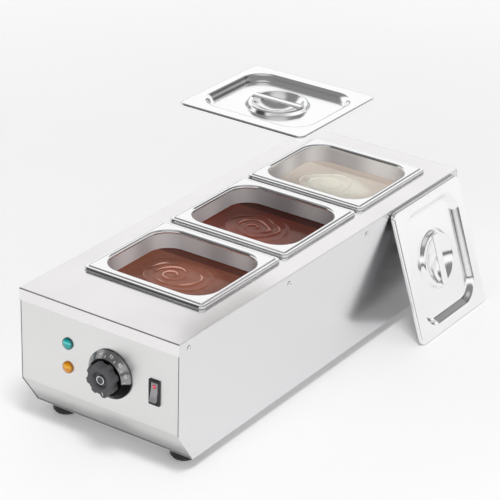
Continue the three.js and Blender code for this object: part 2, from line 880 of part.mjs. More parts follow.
function knobGrip() {
  const skin = loft([
    lobedRing(gripRadius, gripLobe, gripPointerReach, gripBack),
    lobedRing(gripRadius, gripLobe, gripPointerReach, gripFront - gripEdge),
    lobedRing(gripRadius - gripEdge / 3, gripLobe, gripPointerReach, gripFront - gripEdge / 3),
    lobedRing(gripRadius - gripEdge, gripLobe, gripPointerReach, gripFront),
    lobedRing(gripDishRadius, 0, 0, gripFront),
    lobedRing(gripDishRadius - gripDishSlope, 0, 0, gripFront - gripDishDepth),
  ]);
  const bore = bar('z', shaftRadius + gap, gripBack - cutOverrun, gripBack + shaftInGrip + gap);
  return cut(skin, bore).rotateX(Math.PI / 2);
}

function knobCap() {
  const back = gripFront - gripDishDepth + gap;
  return turnedForward([
    [0, back],
    [capRadius, back],
    [capRadius, back + capHeight - capEdge],
    [capRadius - capEdge, back + capHeight],
    [capRadius - 2 * capEdge, back + capHeight],
    [capRadius - 3 * capEdge, back + capHeight - capEdge],
    [0, back + capHeight - capEdge],
  ]);
}

const shaftEnds = [-gripBack - shaftInGrip, panelBack + gap + shaftInBody];
place('thermostat_shaft', bar('y', shaftRadius, ...shaftEnds), chrome, controls);
place('dial_skirt', dialSkirt(), blackPlastic, controls);
place('knob_grip', knobGrip(), greyPlastic, controls);
place('knob_cap', knobCap(), chrome, controls);

// Pilot lamps: a domed lens in front of the panel and a body behind it
function lampLens() {
  const back = gap - panelFace;
  const edge = back + lampLensEdge;
  const dome = capArc(lampLensRadius, lampLensDome).map(([radius, rise]) => [radius, edge + rise]);
  return turnedForward([[0, back], [lampLensRadius, back], ...dome]);
}

function lampBody() {
  const collarBack = -panelBack - gap;
  return turnedForward([
    [0, -panelFace],
    [lampBarrelRadius, -panelFace],
    [lampBarrelRadius, collarBack],
    [lampCollarRadius, collarBack],
    [lampCollarRadius, collarBack - lampCollarHeight],
    [lampBarrelRadius, collarBack - lampCollarHeight],
    [lampBarrelRadius, -panelBack - lampBodyDepth],
    [0, -panelBack - lampBodyDepth],
  ], smallSides);
}

const lamps = [['green', greenLampBelowTop, greenLens], ['orange', orangeLampBelowTop, orangeLens]];
for (const [colour, belowTop, lens] of lamps) {
  const lamp = new THREE.Group();
  lamp.position.set(lampAcross, 0, casingTop - belowTop);
  machine.add(lamp);
  place(`${colour}_lamp_lens`, lampLens(), lens, lamp);
  place(`${colour}_lamp_body`, lampBody(), blackPlastic, lamp);
}

// Rocker switch: housing, rocker on two pins, and the red lens in the rocker's upper half
const switchGroup = new THREE.Group();
switchGroup.position.set(switchAcross, 0, casingTop - switchBelowTop);
machine.add(switchGroup);
const rockerPivot = panelFace + rockerPivotBehindFace;

function switchHousing() {
  const bezelBack = panelFace - gap;
  const bezel = block(
    [-switchWidth / 2, switchWidth / 2],
    [bezelBack - switchBezel, bezelBack],
    [-switchHeight / 2, switchHeight / 2],
  );
  const body = block(
    [-switchBodyWidth / 2, switchBodyWidth / 2],
    [bezelBack - switchBezel, panelBack + switchBodyDepth],
    [-switchBodyHeight / 2, switchBodyHeight / 2],
  );
  const halfWindow = rockerWidth / 2 + runningGap;
  const swingRoom = rockerReach * Math.sin(THREE.MathUtils.degToRad(2 * rockerSwing));
  const windowEnd = rockerPivot + rockerBack + swingRoom;
  const window = block(
    [-halfWindow, halfWindow],
    [bezelBack - switchBezel - cutOverrun, windowEnd],
    [-switchWindowHeight / 2, switchWindowHeight / 2],
  );
  const pinReach = rockerWidth / 2 + rockerPinLength + runningGap;
  const sockets = bar('x', rockerPinRadius + runningGap, -pinReach, pinReach).translate(0, rockerPivot, 0);
  return cut(joined(bezel, body), window, sockets);
}

function switchRocker() {
  const profile = new THREE.Shape([
    new THREE.Vector2(-rockerFront, -rockerReach),
    new THREE.Vector2(rockerBack, -rockerReach + rockerBack),
    new THREE.Vector2(rockerBack, rockerReach - rockerBack),
    new THREE.Vector2(-rockerFront, rockerReach),
    new THREE.Vector2(-rockerFront + rockerDip, 0),
  ]);
  const body = alongX(profile, -rockerWidth / 2, rockerWidth / 2);
  const pinEnd = rockerWidth / 2 + rockerPinLength;
  const pins = bar('x', rockerPinRadius, -pinEnd, pinEnd);
  const seat = bar('y', redLensRadius + gap, -rockerFront - cutOverrun, redLensSeatDepth() + gap);
  return cut(joined(body, pins), seat.translate(0, 0, redLensAbovePivot));
}

function redLensSeatDepth() {
  return -rockerFront + rockerDip + redLensSeat;
}

function switchLens() {
  const low = -redLensSeatDepth();
  const edge = rockerFront - rockerDip / 2;
  const dome = capArc(redLensRadius, redLensDome).map(([radius, rise]) => [radius, edge + rise]);
  return turnedForward([[0, low], [redLensRadius, low], ...dome], smallSides);
}

place('switch_housing', switchHousing(), blackPlastic, switchGroup);
const rocker = new THREE.Group();
rocker.position.y = rockerPivot;
rocker.rotation.x = -THREE.MathUtils.degToRad(rockerSwing);
switchGroup.add(rocker);
place('switch_rocker', switchRocker(), rockerPlastic, rocker);
place('switch_lens', switchLens(), redLens, rocker).position.z = redLensAbovePivot;

// Overheat cut-out on the tank's front wall
function overheatCutout() {
  const ear = block(
    [-cutoutEarWidth / 2, cutoutEarWidth / 2],
    [-casingSheet, 0],
    [-cutoutEarHeight / 2, cutoutEarHeight / 2],
  );
  return joined(bar('y', cutoutRadius, -cutoutDepth, 0, roundSides), ear);
}

const cutout = place('overheat_cutout', overheatCutout(), blackPlastic);
cutout.position.set(-cutoutFromCentre, tankFrontWall - gap, casingTop - cutoutBelowTop);

// Terminal block on the bottom plate beside the element's end, with a row of holes on top
const terminalBase = footHeight + casingSheet + gap;
const terminalTop = terminalBase + terminalHeight;
const terminalPitch = terminalLength / terminalHoles;
const terminalAcross = elementRuns()[3] - terminalBesideElement;

function terminalHoleX(index) {
  return terminalAcross + (index - (terminalHoles - 1) / 2) * terminalPitch;
}

function terminalBlock() {
  const half = terminalLength / 2;
  const body = block(
    [terminalAcross - half, terminalAcross + half],
    [terminalFromFront - terminalDepth / 2, terminalFromFront + terminalDepth / 2],
    [terminalBase, terminalTop],
  );
  const holes = Array.from({ length: terminalHoles }, (_, index) => {
    const hole = bar('z', terminalHoleRadius, terminalTop - terminalHoleDepth, terminalTop + cutOverrun);
    return hole.translate(terminalHoleX(index), terminalFromFront, 0);
  });
  return cut(body, ...holes);
}

place('terminal_block', terminalBlock(), whitePlastic);

// Leads from the terminal block to the switch, the thermostat and the element, each straight
// at both ends
function lead(hole, end, approach) {
  const x = terminalHoleX(hole);
  const low = new THREE.Vector3(x, terminalFromFront, terminalTop - terminalHoleDepth + gap);
  const above = new THREE.Vector3(x, terminalFromFront, terminalTop + terminalHoleDepth);
  const before = end.clone().addScaledVector(approach, leadBend);
  const path = new THREE.CurvePath();
  path.add(new THREE.LineCurve3(low, above));
  path.add(new THREE.CubicBezierCurve3(
    above,
    above.clone().setZ(above.z + leadBend),
    before.clone().addScaledVector(approach, leadBend),
    before,
  ));
  path.add(new THREE.LineCurve3(before, end));
  return tube(path, leadRadius, leadSteps);
}

const behind = new THREE.Vector3(0, 1, 0);
const inFront = new THREE.Vector3(0, -1, 0);
const elementPinTip = tankFrontWall - elementEndBeforeTank - elementPinLength;
const switchLeadEnd = [switchAcross, panelBack + switchBodyDepth + gap, casingTop - switchBelowTop];
const thermostatLeadEnd = [dialFromCentre, panelBack + thermostatDepth + 2 * gap, dialHeight];
const elementLeadEnd = [elementRuns()[3], elementPinTip - gap, elementHeight];
place('lead_to_switch', lead(3, new THREE.Vector3(...switchLeadEnd), behind), leadCover);
place('lead_to_thermostat', lead(1, new THREE.Vector3(...thermostatLeadEnd), behind), leadCover);
place('lead_to_element', lead(2, new THREE.Vector3(...elementLeadEnd), inFront), leadCover);

// Cable gland through the rear panel, with its lock nut inside
const glandGroup = new THREE.Group();
glandGroup.position.set(glandAcross, casingLength - panelFace, footHeight + glandAboveBottom);
machine.add(glandGroup);

function cableGland() {
  const hexagon = bar('y', glandHexRadius, gap, gap + glandHexDepth, hexSides);
  const thread = bar('y', glandThreadRadius, -glandInnerLength, gap + glandHexDepth / 2, roundSides);
  const dome = new THREE.CylinderGeometry(glandTipRadius, glandDomeRadius, glandDomeLength, roundSides);
  dome.translate(0, gap + glandHexDepth + glandDomeLength / 2, 0);
  const end = gap + glandHexDepth + glandDomeLength + cutOverrun;
  const bore = bar('y', glandBoreRadius, -glandInnerLength - cutOverrun, end, roundSides);
  return cut(joined(hexagon, thread, dome), bore);
}

function glandLocknut() {
  const back = -casingSheet - gap;
  const nut = bar('y', glandHexRadius, back - glandNutDepth, back, hexSides);
  const bore = bar('y', glandThreadRadius + gap, back - glandNutDepth - cutOverrun, cutOverrun, roundSides);
  return cut(nut, bore);
}

place('cable_gland', cableGland(), blackPlastic, glandGroup);
place('gland_locknut', glandLocknut(), blackPlastic, glandGroup);

// Pans hang in the cut-outs by their rims; heights are measured from the rim's top
function shrunk([halfX, halfY, radius], by) {
  return [halfX - by, halfY - by, radius - by];
}

const opening = [openingHalfX, openingHalfY, openingCornerRadius];
const wallFoot = panDepth - panSheet - panFloorRadius;

function wallInset(depth) {
  return panTaper * depth / panDepth;
}

// The rounded floor and the wall of a skin that lies outside the pan's inner face
function panFloorBend(outside) {
  return quarterTurn().map(([sine, cosine]) => {
    const inset = wallInset(wallFoot) + panFloorRadius - (panFloorRadius + outside) * sine;
    return ring(...shrunk(opening, inset), -wallFoot - (panFloorRadius + outside) * cosine);
  });
}

function panOpeningBend(outside) {
  return quarterTurn().map(([sine, cosine]) => {
    const inset = (openingBend - outside) * cosine - openingBend;
    return ring(...shrunk(opening, inset), (openingBend - outside) * sine - openingBend);
  });
}

function pan() {
  const edge = [panLength / 2, panWidth / 2, rimCornerRadius];
  const lipLow = gap - rimHeight;
  const inner = shrunk(edge, panSheet);
  return loft([
    ...panFloorBend(panSheet),
    ...panOpeningBend(panSheet),
    ring(...shrunk(edge, rimStepFromEdge + rimStepRun), -panSheet),
    ring(...shrunk(edge, rimStepFromEdge), -rimStep - panSheet),
    ring(...inner, -rimStep - panSheet),
    ring(...inner, lipLow),
    ring(...edge, lipLow),
    ring(...edge, -rimStep - rimEdgeRadius),
    ring(...shrunk(edge, rimEdgeRadius), -rimStep),
    ring(...shrunk(edge, rimStepFromEdge), -rimStep),
    ring(...shrunk(edge, rimStepFromEdge + rimStepRun), 0),
    ...panOpeningBend(0).reverse(),
    ...panFloorBend(0).reverse(),
  ]);
}

// A low spiral ripple that dies away towards the pan's walls
function swirl(point, edge) {
  const share = point.length() / edge.length();
  const fade = Math.max(0, 1 - (share / swirlReachShare) ** 2);
  const turn = Math.atan2(point.y, point.x);
  return swirlHeight * fade * Math.cos(2 * Math.PI * swirlTurns * share - turn);
}

function chocolate() {
  const level = -chocolateBelowRim;
  const wall = wallInset(chocolateBelowRim) + gap;
  const edge = ring(...shrunk(opening, wall), level + meniscusHeight);
  const calm = ring(...shrunk(opening, wall + meniscusWidth), level);
  const surface = swirlRingShares.map((share) => calm.map((point) => {
    const flat = new THREE.Vector2(point.x * share, point.y * share);
    return new THREE.Vector3(flat.x, flat.y, level + swirl(flat, new THREE.Vector2(point.x, point.y)));
  }));
  return loft([...panFloorBend(-gap), edge, calm, ...surface]);
}

const panNames = ['front', 'middle', 'rear'];
const fillings = [milkChocolate, darkChocolate, whiteChocolate];
panCentres.forEach((centre, index) => {
  const group = new THREE.Group();
  group.position.set(0, centre, rimTop);
  machine.add(group);
  place(`pan_${panNames[index]}`, pan(), polishedSteel, group);
  place(`chocolate_${panNames[index]}`, chocolate(), fillings[index], group);
});

// Lids: heights are measured from the lower edge of the turned-down lip
const lidHalfX = panLength / 2 + lidLap + lidSheet;
const lidHalfY = panWidth / 2 + lidLap + lidSheet;
const lidFloor = lidLip - lidRecessDepth;
const crownTop = lidFloor + bossRise;

function lidDish() {
  const bowl = capArc(bowlRadius, bowlDepth, bowlSteps).map(([radius, drop]) => [radius, crownTop - drop]);
  const top = [[bossRadius + bossLap, lidFloor], [bossRadius, lidFloor], [bossCrown, crownTop], ...bowl];
  const under = top.map(([radius, height]) => [radius, height - lidSheet]).reverse();
  return turned([...top, ...under], dishSides);
}

function lidCover() {
  const edge = [lidHalfX, lidHalfY, rimCornerRadius + lidLap + lidSheet];
  const recess = shrunk(opening, lidRecessClearance);
  const sheet = loft([
    ring(...shrunk(recess, lidRecessSlope), lidFloor - lidSheet),
    ring(...shrunk(recess, -lidRecessFillet / 2), lidLip - lidSheet),
    ring(...shrunk(edge, lidSheet), lidLip - lidSheet),
    ring(...shrunk(edge, lidSheet), 0),
    ring(...edge, 0),
    ring(...edge, lidLip - lidEdgeRadius),
    ring(...shrunk(edge, lidEdgeRadius), lidLip),
    ring(...shrunk(recess, -lidRecessFillet), lidLip),
    ring(...shrunk(recess, lidSheet / 2), lidLip - lidRecessFillet),
    ring(...shrunk(recess, lidRecessSlope), lidFloor + lidRecessFillet / 2),
    ring(...shrunk(recess, lidRecessSlope + lidRecessFillet), lidFloor),
  ]);
  const hole = bar('z', bossRadius + bossLap / 2, lidFloor - cutOverrun, lidFloor + cutOverrun, dishSides);
  return joined(cut(sheet, hole), lidDish());
}

// Strap handle, arched across its width, welded to the boss at both ends
function lidHandle() {
  const half = bossCrown * handleLengthShare;
  const low = crownTop + gap;
  const edgeRise = handleThickness / 3;
  const section = new THREE.Shape([
    new THREE.Vector2(-handleWidth / 2, low),
    new THREE.Vector2(handleWidth / 2, low),
    new THREE.Vector2(handleWidth / 2, low + edgeRise),
    new THREE.Vector2(handleWidth / 4, low + handleThickness),
    new THREE.Vector2(-handleWidth / 4, low + handleThickness),
    new THREE.Vector2(-handleWidth / 2, low + edgeRise),
  ]);
  return alongX(section, -half, half);
}

function lid(name) {
  const group = new THREE.Group();
  place(name, lidCover(), polishedSteel, group);
  place(`${name}_handle`, lidHandle(), polishedSteel, group);
  machine.add(group);
  return group;
}

// The raised lid is held above the middle pan, a little to the right of it
const raisedLid = lid('raised_lid');
const seatedLip = rimTop + gap - (lidLip - lidSheet);
raisedLid.position.set(raisedLidSideShift, panCentres[1], seatedLip + raisedLidRise);

// The leaning lid stands on its long edge and rests its upper edge, or its back, on the casing
const leaningLid = lid('leaning_lid');
const leaningReach = Math.sqrt((2 * lidHalfX) ** 2 - leaningLidFootOut ** 2);
const lean = Math.atan2(Math.min(leaningReach, casingTop), leaningLidFootOut);
leaningLid.rotation.y = lean;
leaningLid.position.set(
  casingWidth / 2 + gap + leaningLidFootOut - lidHalfX * Math.cos(lean),
  casingLength - leaningLidFromRear,
  lidHalfX * Math.sin(lean),
);

// The origin lies under the middle of the whole object, on the table
const bounds = new THREE.Box3().setFromObject(machine, true);
const centre = bounds.getCenter(new THREE.Vector3());
machine.position.set(-centre.x, -centre.y, -bounds.min.z);

export default machine;
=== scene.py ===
"""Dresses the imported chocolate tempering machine: finer surfaces, materials, light and camera."""
import json
import math

import bmesh
import bpy
from mathutils import Matrix, Vector, noise


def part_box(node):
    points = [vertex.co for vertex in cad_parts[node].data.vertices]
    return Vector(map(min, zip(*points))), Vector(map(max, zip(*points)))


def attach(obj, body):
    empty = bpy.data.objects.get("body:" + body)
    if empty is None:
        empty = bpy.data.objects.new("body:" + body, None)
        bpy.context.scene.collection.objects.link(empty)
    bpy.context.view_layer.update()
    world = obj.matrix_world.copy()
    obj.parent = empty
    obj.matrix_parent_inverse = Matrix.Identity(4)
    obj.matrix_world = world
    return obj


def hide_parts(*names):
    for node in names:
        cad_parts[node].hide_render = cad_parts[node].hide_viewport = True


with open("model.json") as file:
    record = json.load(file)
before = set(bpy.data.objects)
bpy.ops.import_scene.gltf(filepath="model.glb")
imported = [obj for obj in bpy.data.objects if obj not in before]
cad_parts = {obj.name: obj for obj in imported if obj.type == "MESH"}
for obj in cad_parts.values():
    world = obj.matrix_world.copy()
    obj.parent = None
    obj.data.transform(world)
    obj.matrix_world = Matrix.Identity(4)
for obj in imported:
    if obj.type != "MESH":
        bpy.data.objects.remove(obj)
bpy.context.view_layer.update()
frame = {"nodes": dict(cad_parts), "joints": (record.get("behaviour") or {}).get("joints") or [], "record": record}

# Units and smoothness
MM = 0.001
GAP = 0.3
CORNER_STEPS = 8
LID_CORNER_STEPS = 16
SMALL_BEND_STEPS = 3
BEND_STEPS = 4
EDGE_STEPS = 5
DOME_STEPS = 6
ROUND_STEPS = 64
SMALL_ROUND_STEPS = 32
SKIRT_ROUND_STEPS = 96
BEVEL_SEGMENTS = 2
ROUND_PROFILE = 0.5
SMOOTH_ANGLE = math.radians(38)
WELD_DISTANCE = 2e-6
FLAT_ANGLE = math.radians(0.4)
UPRIGHT_OR_LEVEL = 0.9999

# Casing
FOLD_RADIUS = 1.4
SIDE_FOLD_RADIUS = 0.9
FOLD_STEPS = 5
FRONT_FACE_HEIGHT = 119
CHAMFER_DEPTH = 29
BEND_BLUR = 1.2
LIP_HEIGHT = 15.5
SEAM_FROM_SIDE = 1.05
SEAM_WIDTH = 0.75
SEAM_BULGE = 0.1
SHEET_EDGE_RADIUS = 0.25
FITTING_EDGE_RADIUS = 0.4

# Pans, in millimetres; heights are measured from the rim's top
PAN_LENGTH = 176
PAN_WIDTH = 162
PAN_DEPTH = 100
PAN_SHEET = 0.8
RIM_HEIGHT = 5
RIM_AT_SIDES = 11
RIM_AT_ENDS = 15.5
RIM_CORNER_RADIUS = 7
RIM_EDGE_RADIUS = 1.5
RIM_STEP = 0.9
RIM_STEP_FROM_EDGE = 4.4
RIM_STEP_RUN = 1.4
OPENING_CORNER_RADIUS = 31
OPENING_BEND = 3
PAN_TAPER = 5
PAN_FLOOR_RADIUS = 14
PAN_FLOOR_STEPS = 6
SUPPORT = 0.4
RIM_LOOK_BELOW_RIM = 3
WALL_LOOK_BELOW_RIM = 5

# Chocolate
CHOCOLATE_BELOW_RIM = 24
MENISCUS_HEIGHT = 0.9
MENISCUS_WIDTH = 2
CHOCOLATE_RINGS = 84
CHOCOLATE_SIDES = 208
SWIRL_REACH = 54
SWIRL_PITCH = 14
SWIRL_CENTRE = (-14, 3)
SWIRL_HEIGHT = 3
SWIRL_STRETCH = 0.86
SWIRL_CREST_SHARE = 0.2
SWIRL_FALL_SHARE = 0.2
SWIRL_EYE = 4
SWIRL_WANDER = 6
SWIRL_WANDER_SIZE = 26
PATCH_SIZE = 24
PATCH_LEVEL = 0.6
PATCH_SEED = 7
SEED_STEP = 3.7
MELT_WANDER = 8
MELT_MIDDLE = 26
MELT_EDGE = 56
# The painted shadow along the back wall starts this far behind the middle.
MELT_BACK_SHADE = 49
BACK_SHADE_BLUR = 1.5
# Heights over the level where the painted highlight on the crests begins and is full
CREST_HIGHLIGHT_LOW = 0.6
CREST_HIGHLIGHT_HIGH = 1.7

# Lids; heights are measured from the lower edge of the turned-down lip
LID_SHEET = 0.8
LID_LAP = 1.2
LID_LIP = 5
LID_EDGE_RADIUS = 2.4
LID_CORNER_RADIUS = 9
LID_RECESS_CLEARANCE = 2.2
LID_RECESS_DEPTH = 8
LID_RECESS_SLOPE = 4
LID_RECESS_BEND = 3
RECESS_STEPS = 12
BOSS_RADIUS = 40
BOSS_RISE = 6
BOSS_CROWN = 35
BOSS_BEND = 3
BOSS_FOOT_OUT = 1
BOSS_FOOT_ANGLE = 320
BOSS_SHOULDER_IN = 0.6
BOSS_SHOULDER_ANGLE = 150
BOWL_RADIUS = 32
BOWL_DEPTH = 13
BOWL_BRIM = ((0.8, 0), (-0.1, 0.15), (-0.8, 0.7))
BOWL_STEPS = 10
HANDLE_WIDTH = 14
HANDLE_THICKNESS = 1.5
HANDLE_LENGTH_SHARE = 0.97
HANDLE_SECTION_SHARES = ((0.5, 0), (0.5, 0.35), (0.44, 0.6), (0.27, 0.66), (0.21, 1))
HANDLE_EDGE = 0.2
HANDLE_EDGE_ANGLE = math.radians(60)
LEANING_ANGLE = 71.7

# Dial, in millimetres; depths are measured from the casing's front towards the viewer
SKIRT_RADIUS = 30.8
SKIRT_FRONT_RADIUS = 23.8
SKIRT_BACK = -0.5
SKIRT_EDGE = 2
SKIRT_EDGE_RADIUS = 0.5
SKIRT_EDGE_ANGLE = 60
SKIRT_SHOULDER_RADIUS = 0.6
SKIRT_SHOULDER_ANGLE = 40
SKIRT_UNDER_GRIP = 2
SKIRT_HEIGHT = 9.5
SKIRT_BORE = 3.3
GRIP_RADIUS = 19.8
GRIP_LOBES = 8
GRIP_LOBE_RISE = 0.72
GRIP_FLUTE_DEPTH = 2.34
GRIP_FLUTE_STEEPNESS = 1.3
GRIP_POINTER = 1.8
GRIP_POINTER_SHARPNESS = 60
GRIP_HEIGHT = 10.5
GRIP_EDGE = 2.4
GRIP_EDGE_ANGLES = (170, 95)
GRIP_DISH_RADIUS = 10.7
GRIP_DISH_DEPTH = 4
GRIP_DISH_EDGE = 0.8
GRIP_DISH_SLOPE = 2
GRIP_STEPS = 144
POINTER_ANGLE = -73.7
POINTER_LENGTH = 4.2
POINTER_WIDTH = 1
POINTER_FROM_EDGE = 3.4
CAP_RADIUS = 5.6
CAP_HEIGHT = 2.4
CAP_BRIM = 0.7
CAP_FLOOR = 0.5
CAP_INLAY_RISE = 0.4
CAP_INLAY_DOME = 0.6
NUMERALS = (30, 40, 50, 60, 70, 80, 90)
LAST_NUMERAL_ANGLE = 16.2
NUMERAL_PITCH = 30.65
NUMERAL_HEIGHT = 5.4
NUMERAL_DROP_SHARE = 0.3
NUMERAL_STEPS = 3
TICK_LENGTH = 3
TICK_WIDTH = 0.7
TICK_DROP = 2.4
UNIT_SQUARE = ((-0.5, -0.5), (0.5, -0.5), (0.5, 0.5), (-0.5, 0.5))
INK = 0.12
# The skirt's painted sheen band runs between these angles, in degrees.
BAND_START = -3
BAND_END = 183
BAND_EDGE = 3

# Lamps, switch and screws
LENS_RADIUS = 7.5
LENS_EDGE = 1.6
LENS_DOME = 2
LENS_RIM = 0.7
LENS_FACETS = 16
LENS_RAY = 0.12
LENS_GROOVE = 0.2
LENS_SINK = 0.15
LENS_STEPS = 8
ROCKER_WIDTH = 10
ROCKER_REACH = 12
ROCKER_FRONT = 5.4
ROCKER_DIP = 1.6
ROCKER_BACK = 3
ROCKER_STEPS = 12
ROCKER_EDGE = 0.35
ROCKER_EDGE_ANGLE = math.radians(50)
ROCKER_SWING = 10
RED_LENS_RADIUS = 2.7
RED_LENS_HEIGHT = 7.4
RED_LENS_EDGE = 0.4
RED_LENS_DOME = 1.4
RED_LENS_SINK = 0.5
SCREWS_A_SIDE = 4
SCREW_HEAD_RADIUS = 3.4
SCREW_HEAD_HEIGHT = 1.6
SCREW_SHANK_RADIUS = 2
SCREW_SHANK_LENGTH = 3
SCREW_SOCKET_RADIUS = 1.3
SCREW_SOCKET_DEPTH = 0.7
SCREW_SOCKET_FOOT_SHARE = 0.9

# Finishes: noise is counted per metre, and the tones of a melt are its painted shade at the edge, its middle, its
# painted highlight on the crests and its painted shadow along the back wall
NOISE_ROUGHNESS = 0.55
NOISE_RANGE = (0.3, 0.7)
GLOSS_SPREAD_SHARE = 0.1
GRAIN_ALONG_X = (3, 380, 380)
GRAIN_ALONG_Y = (380, 3, 380)
EVEN_GRAIN = (300, 300, 300)
STEEL_CLOUDS = 9
WALL_STREAKS = 19
WALL_STREAK_STRETCH = (1, 1, 0.05)
RIM_GRAIN = 300
RIM_GRAIN_SHARE = 0.015
MOULDED_CLOUDS = 60
MOULDED_CLOUD_SHARE = 0.12
MOULDED_GRAIN = 900
MOULDED_GRAIN_HEIGHT = 0.1
BAND_STREAKS = 160
BAND_STREAK_SHARE = 0.2
BAND_BLUR = 1
BAND_METAL = 0.85
LENS_RIM_SHARES = (0.62, 0.98)
LENS_BAND_FOOT_SHARES = (-0.1, 0.25)
LENS_BAND_TOP_SHARES = (0.3, 0.55)
MELT_STREAKS = 40
MELT_STREAK_STRETCH = (1, 1.6, 1)
MELT_GLOSS_SPREAD_SHARE = 0.15
MELT_LIGHT_DEPTHS = (4, 2, 1)
MILK_TONES = ((0.18, 0.055, 0.03), (0.29, 0.1, 0.062), (0.8, 0.46, 0.38), (0.085, 0.022, 0.013))
DARK_TONES = ((0.2, 0.04, 0.023), (0.29, 0.064, 0.038), (0.85, 0.42, 0.35), (0.085, 0.017, 0.011))
WHITE_TONES = ((0.74, 0.66, 0.58), (0.92, 0.88, 0.76), (0.97, 0.95, 0.87), (0.62, 0.53, 0.46))
WARM = (1, 0.7, 0.6)
MIX_FIRST_COLOUR = 6
MIX_SECOND_COLOUR = 7
MIX_COLOUR_OUT = 2

# Camera, in metres and degrees
CAMERA_PLACE = (1.31904, -1.99871, 1.30790)
CAMERA_AZIMUTH = 34.07
CAMERA_ELEVATION = 25.85
CAMERA_ROLL = 1.597
CAMERA_LENS = 154.04
SENSOR_WIDTH = 36

# Floor and light
FLOOR_HALF_SIZE = 6
FLOOR_DROP = 0.0003
FLOOR_TONES = ((0.9, 0.9, 0.9), (0.92, 0.92, 0.92))
FLOOR_CLOUDS = 3
FLOOR_GLOW = 0.2
FLOOR_FAR_GLOW = 0.5
FLOOR_FADE = (0.5, 2.4)
RING_LEVELS = ((0, 0.06), (8, 0.06), (13, 1.08), (31, 1.08), (37, 0.24), (66, 0.24), (76, 0.7))
SPOTS = (
    ("light beside the leaning lid", 48, -3, 22, 0.85),
    ("flag at the front left", -124, 22, 20, 0.05),
    ("flag at the back right", 60, 38, 13, 0.05),
)
SPOT_BLUR_SHARE = 0.25
KEY_PLACE = (0.64, -0.94, 2.76)
KEY_SIZE = 0.75
KEY_POWER = 38

# Places read from the frame, in metres
casing_low, casing_high = (Vector(corner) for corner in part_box("top_cover"))
casing_front = casing_low.y
bodies = frame["record"]["behaviour"]["bodies"]
body_of = {node: body for body, nodes in bodies.items() for node in nodes}


def box_middle(node):
    low, high = (Vector(corner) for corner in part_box(node))
    return (low + high) / 2


# Mesh helpers: shapes are drawn in millimetres about their own origin, then placed in metres
def rounded_ring(half_x, half_y, radius, z, corner_steps=CORNER_STEPS):
    points = []
    for quadrant, (sign_x, sign_y) in enumerate(((1, 1), (-1, 1), (-1, -1), (1, -1))):
        centre_x = sign_x * (half_x - radius)
        centre_y = sign_y * (half_y - radius)
        for step in range(corner_steps):
            angle = math.pi / 2 * (quadrant + (step + 0.5) / corner_steps)
            points.append((centre_x + radius * math.cos(angle), centre_y + radius * math.sin(angle), z))
    return points


def round_ring(radius, z, steps=ROUND_STEPS):
    angles = [2 * math.pi * (step + 0.5) / steps for step in range(steps)]
    return [(radius * math.cos(angle), radius * math.sin(angle), z) for angle in angles]


def loft(rings):
    """Joins rings of equal count into one skin, closed flat at both ends."""
    mesh = bmesh.new()
    rows = [[mesh.verts.new(point) for point in ring] for ring in rings]
    for low, high in zip(rows, rows[1:]):
        for index in range(len(low)):
            following = (index + 1) % len(low)
            mesh.faces.new((low[index], low[following], high[following], high[index]))
    mesh.faces.new(rows[0][::-1])
    mesh.faces.new(rows[-1])
    bmesh.ops.recalc_face_normals(mesh, faces=mesh.faces)
    return mesh


def turned(profile, steps=ROUND_STEPS):
    """Turns (radius, height) points about Z; an end that lies off the axis is capped flat."""
    return loft([round_ring(radius, height, steps) for radius, height in profile])


def arc(centre, radius, start, end, steps=BEND_STEPS):
    """Points of an arc in the profile plane, from start to end in degrees."""
    points = []
    for step in range(steps + 1):
        angle = math.radians(start + (end - start) * step / steps)
        points.append((centre[0] + radius * math.cos(angle), centre[1] + radius * math.sin(angle)))
    return points


def dome(radius, rise, steps=DOME_STEPS):
    """Points of a shallow cap's section from its edge up to near its top."""
    sphere = (radius * radius + rise * rise) / (2 * rise)
    reach = math.asin(radius / sphere)
    angles = [reach * (1 - step / steps) for step in range(steps)]
    return [(sphere * math.sin(angle), sphere * (math.cos(angle) - 1) + rise) for angle in angles]


def rounded(mesh, edges, width, segments):
    bmesh.ops.bevel(
        mesh, geom=edges, offset=width, segments=segments, profile=ROUND_PROFILE, affect="EDGES")


def bevelled(mesh, width, angle=SMOOTH_ANGLE):
    edges = [edge for edge in mesh.edges if edge.is_manifold and edge.calc_face_angle() > angle]
    rounded(mesh, edges, width, BEVEL_SEGMENTS)
    return mesh


def bar(width, depth, height):
    mesh = bmesh.new()
    bmesh.ops.create_cube(mesh, size=1, matrix=Matrix.Diagonal((width, depth, height, 1)))
    return mesh


def extruded(outline, low, high):
    """Extrudes an outline of (y, z) points along X."""
    return loft([[(x, y, z) for y, z in outline] for x in (low, high)])


def added(name, data):
    """Puts an object with this data into the scene."""
    thing = bpy.data.objects.new(name, data)
    bpy.context.scene.collection.objects.link(thing)
    return thing


def baked(mesh, name):
    """Turns a bmesh into mesh data and frees it."""
    data = bpy.data.meshes.new(name)
    mesh.to_mesh(data)
    mesh.free()
    return data


def piece(name, mesh, place, material, body, replaced=(), underside=None):
    """Makes a piece from a bmesh in millimetres; the underside's material is for its marked faces."""
    data = baked(mesh, name)
    data.transform(place @ Matrix.Scale(MM, 4))
    shown = added(name, data)
    data.materials.append(material)
    if underside:
        data.materials.append(underside)
    for face in data.polygons:
        face.use_smooth = True
    data.set_sharp_from_angle(angle=SMOOTH_ANGLE)
    weighted = shown.modifiers.new("weighted normals", "WEIGHTED_NORMAL")
    weighted.keep_sharp = True
    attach(shown, body)
    if replaced:
        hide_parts(*replaced)


def remade(node, mesh, place, material, underside=None):
    """Shows a node in a finer shape of the scene's own."""
    piece(f"{node}_shown", mesh, place, material, body_of[node], [node], underside)


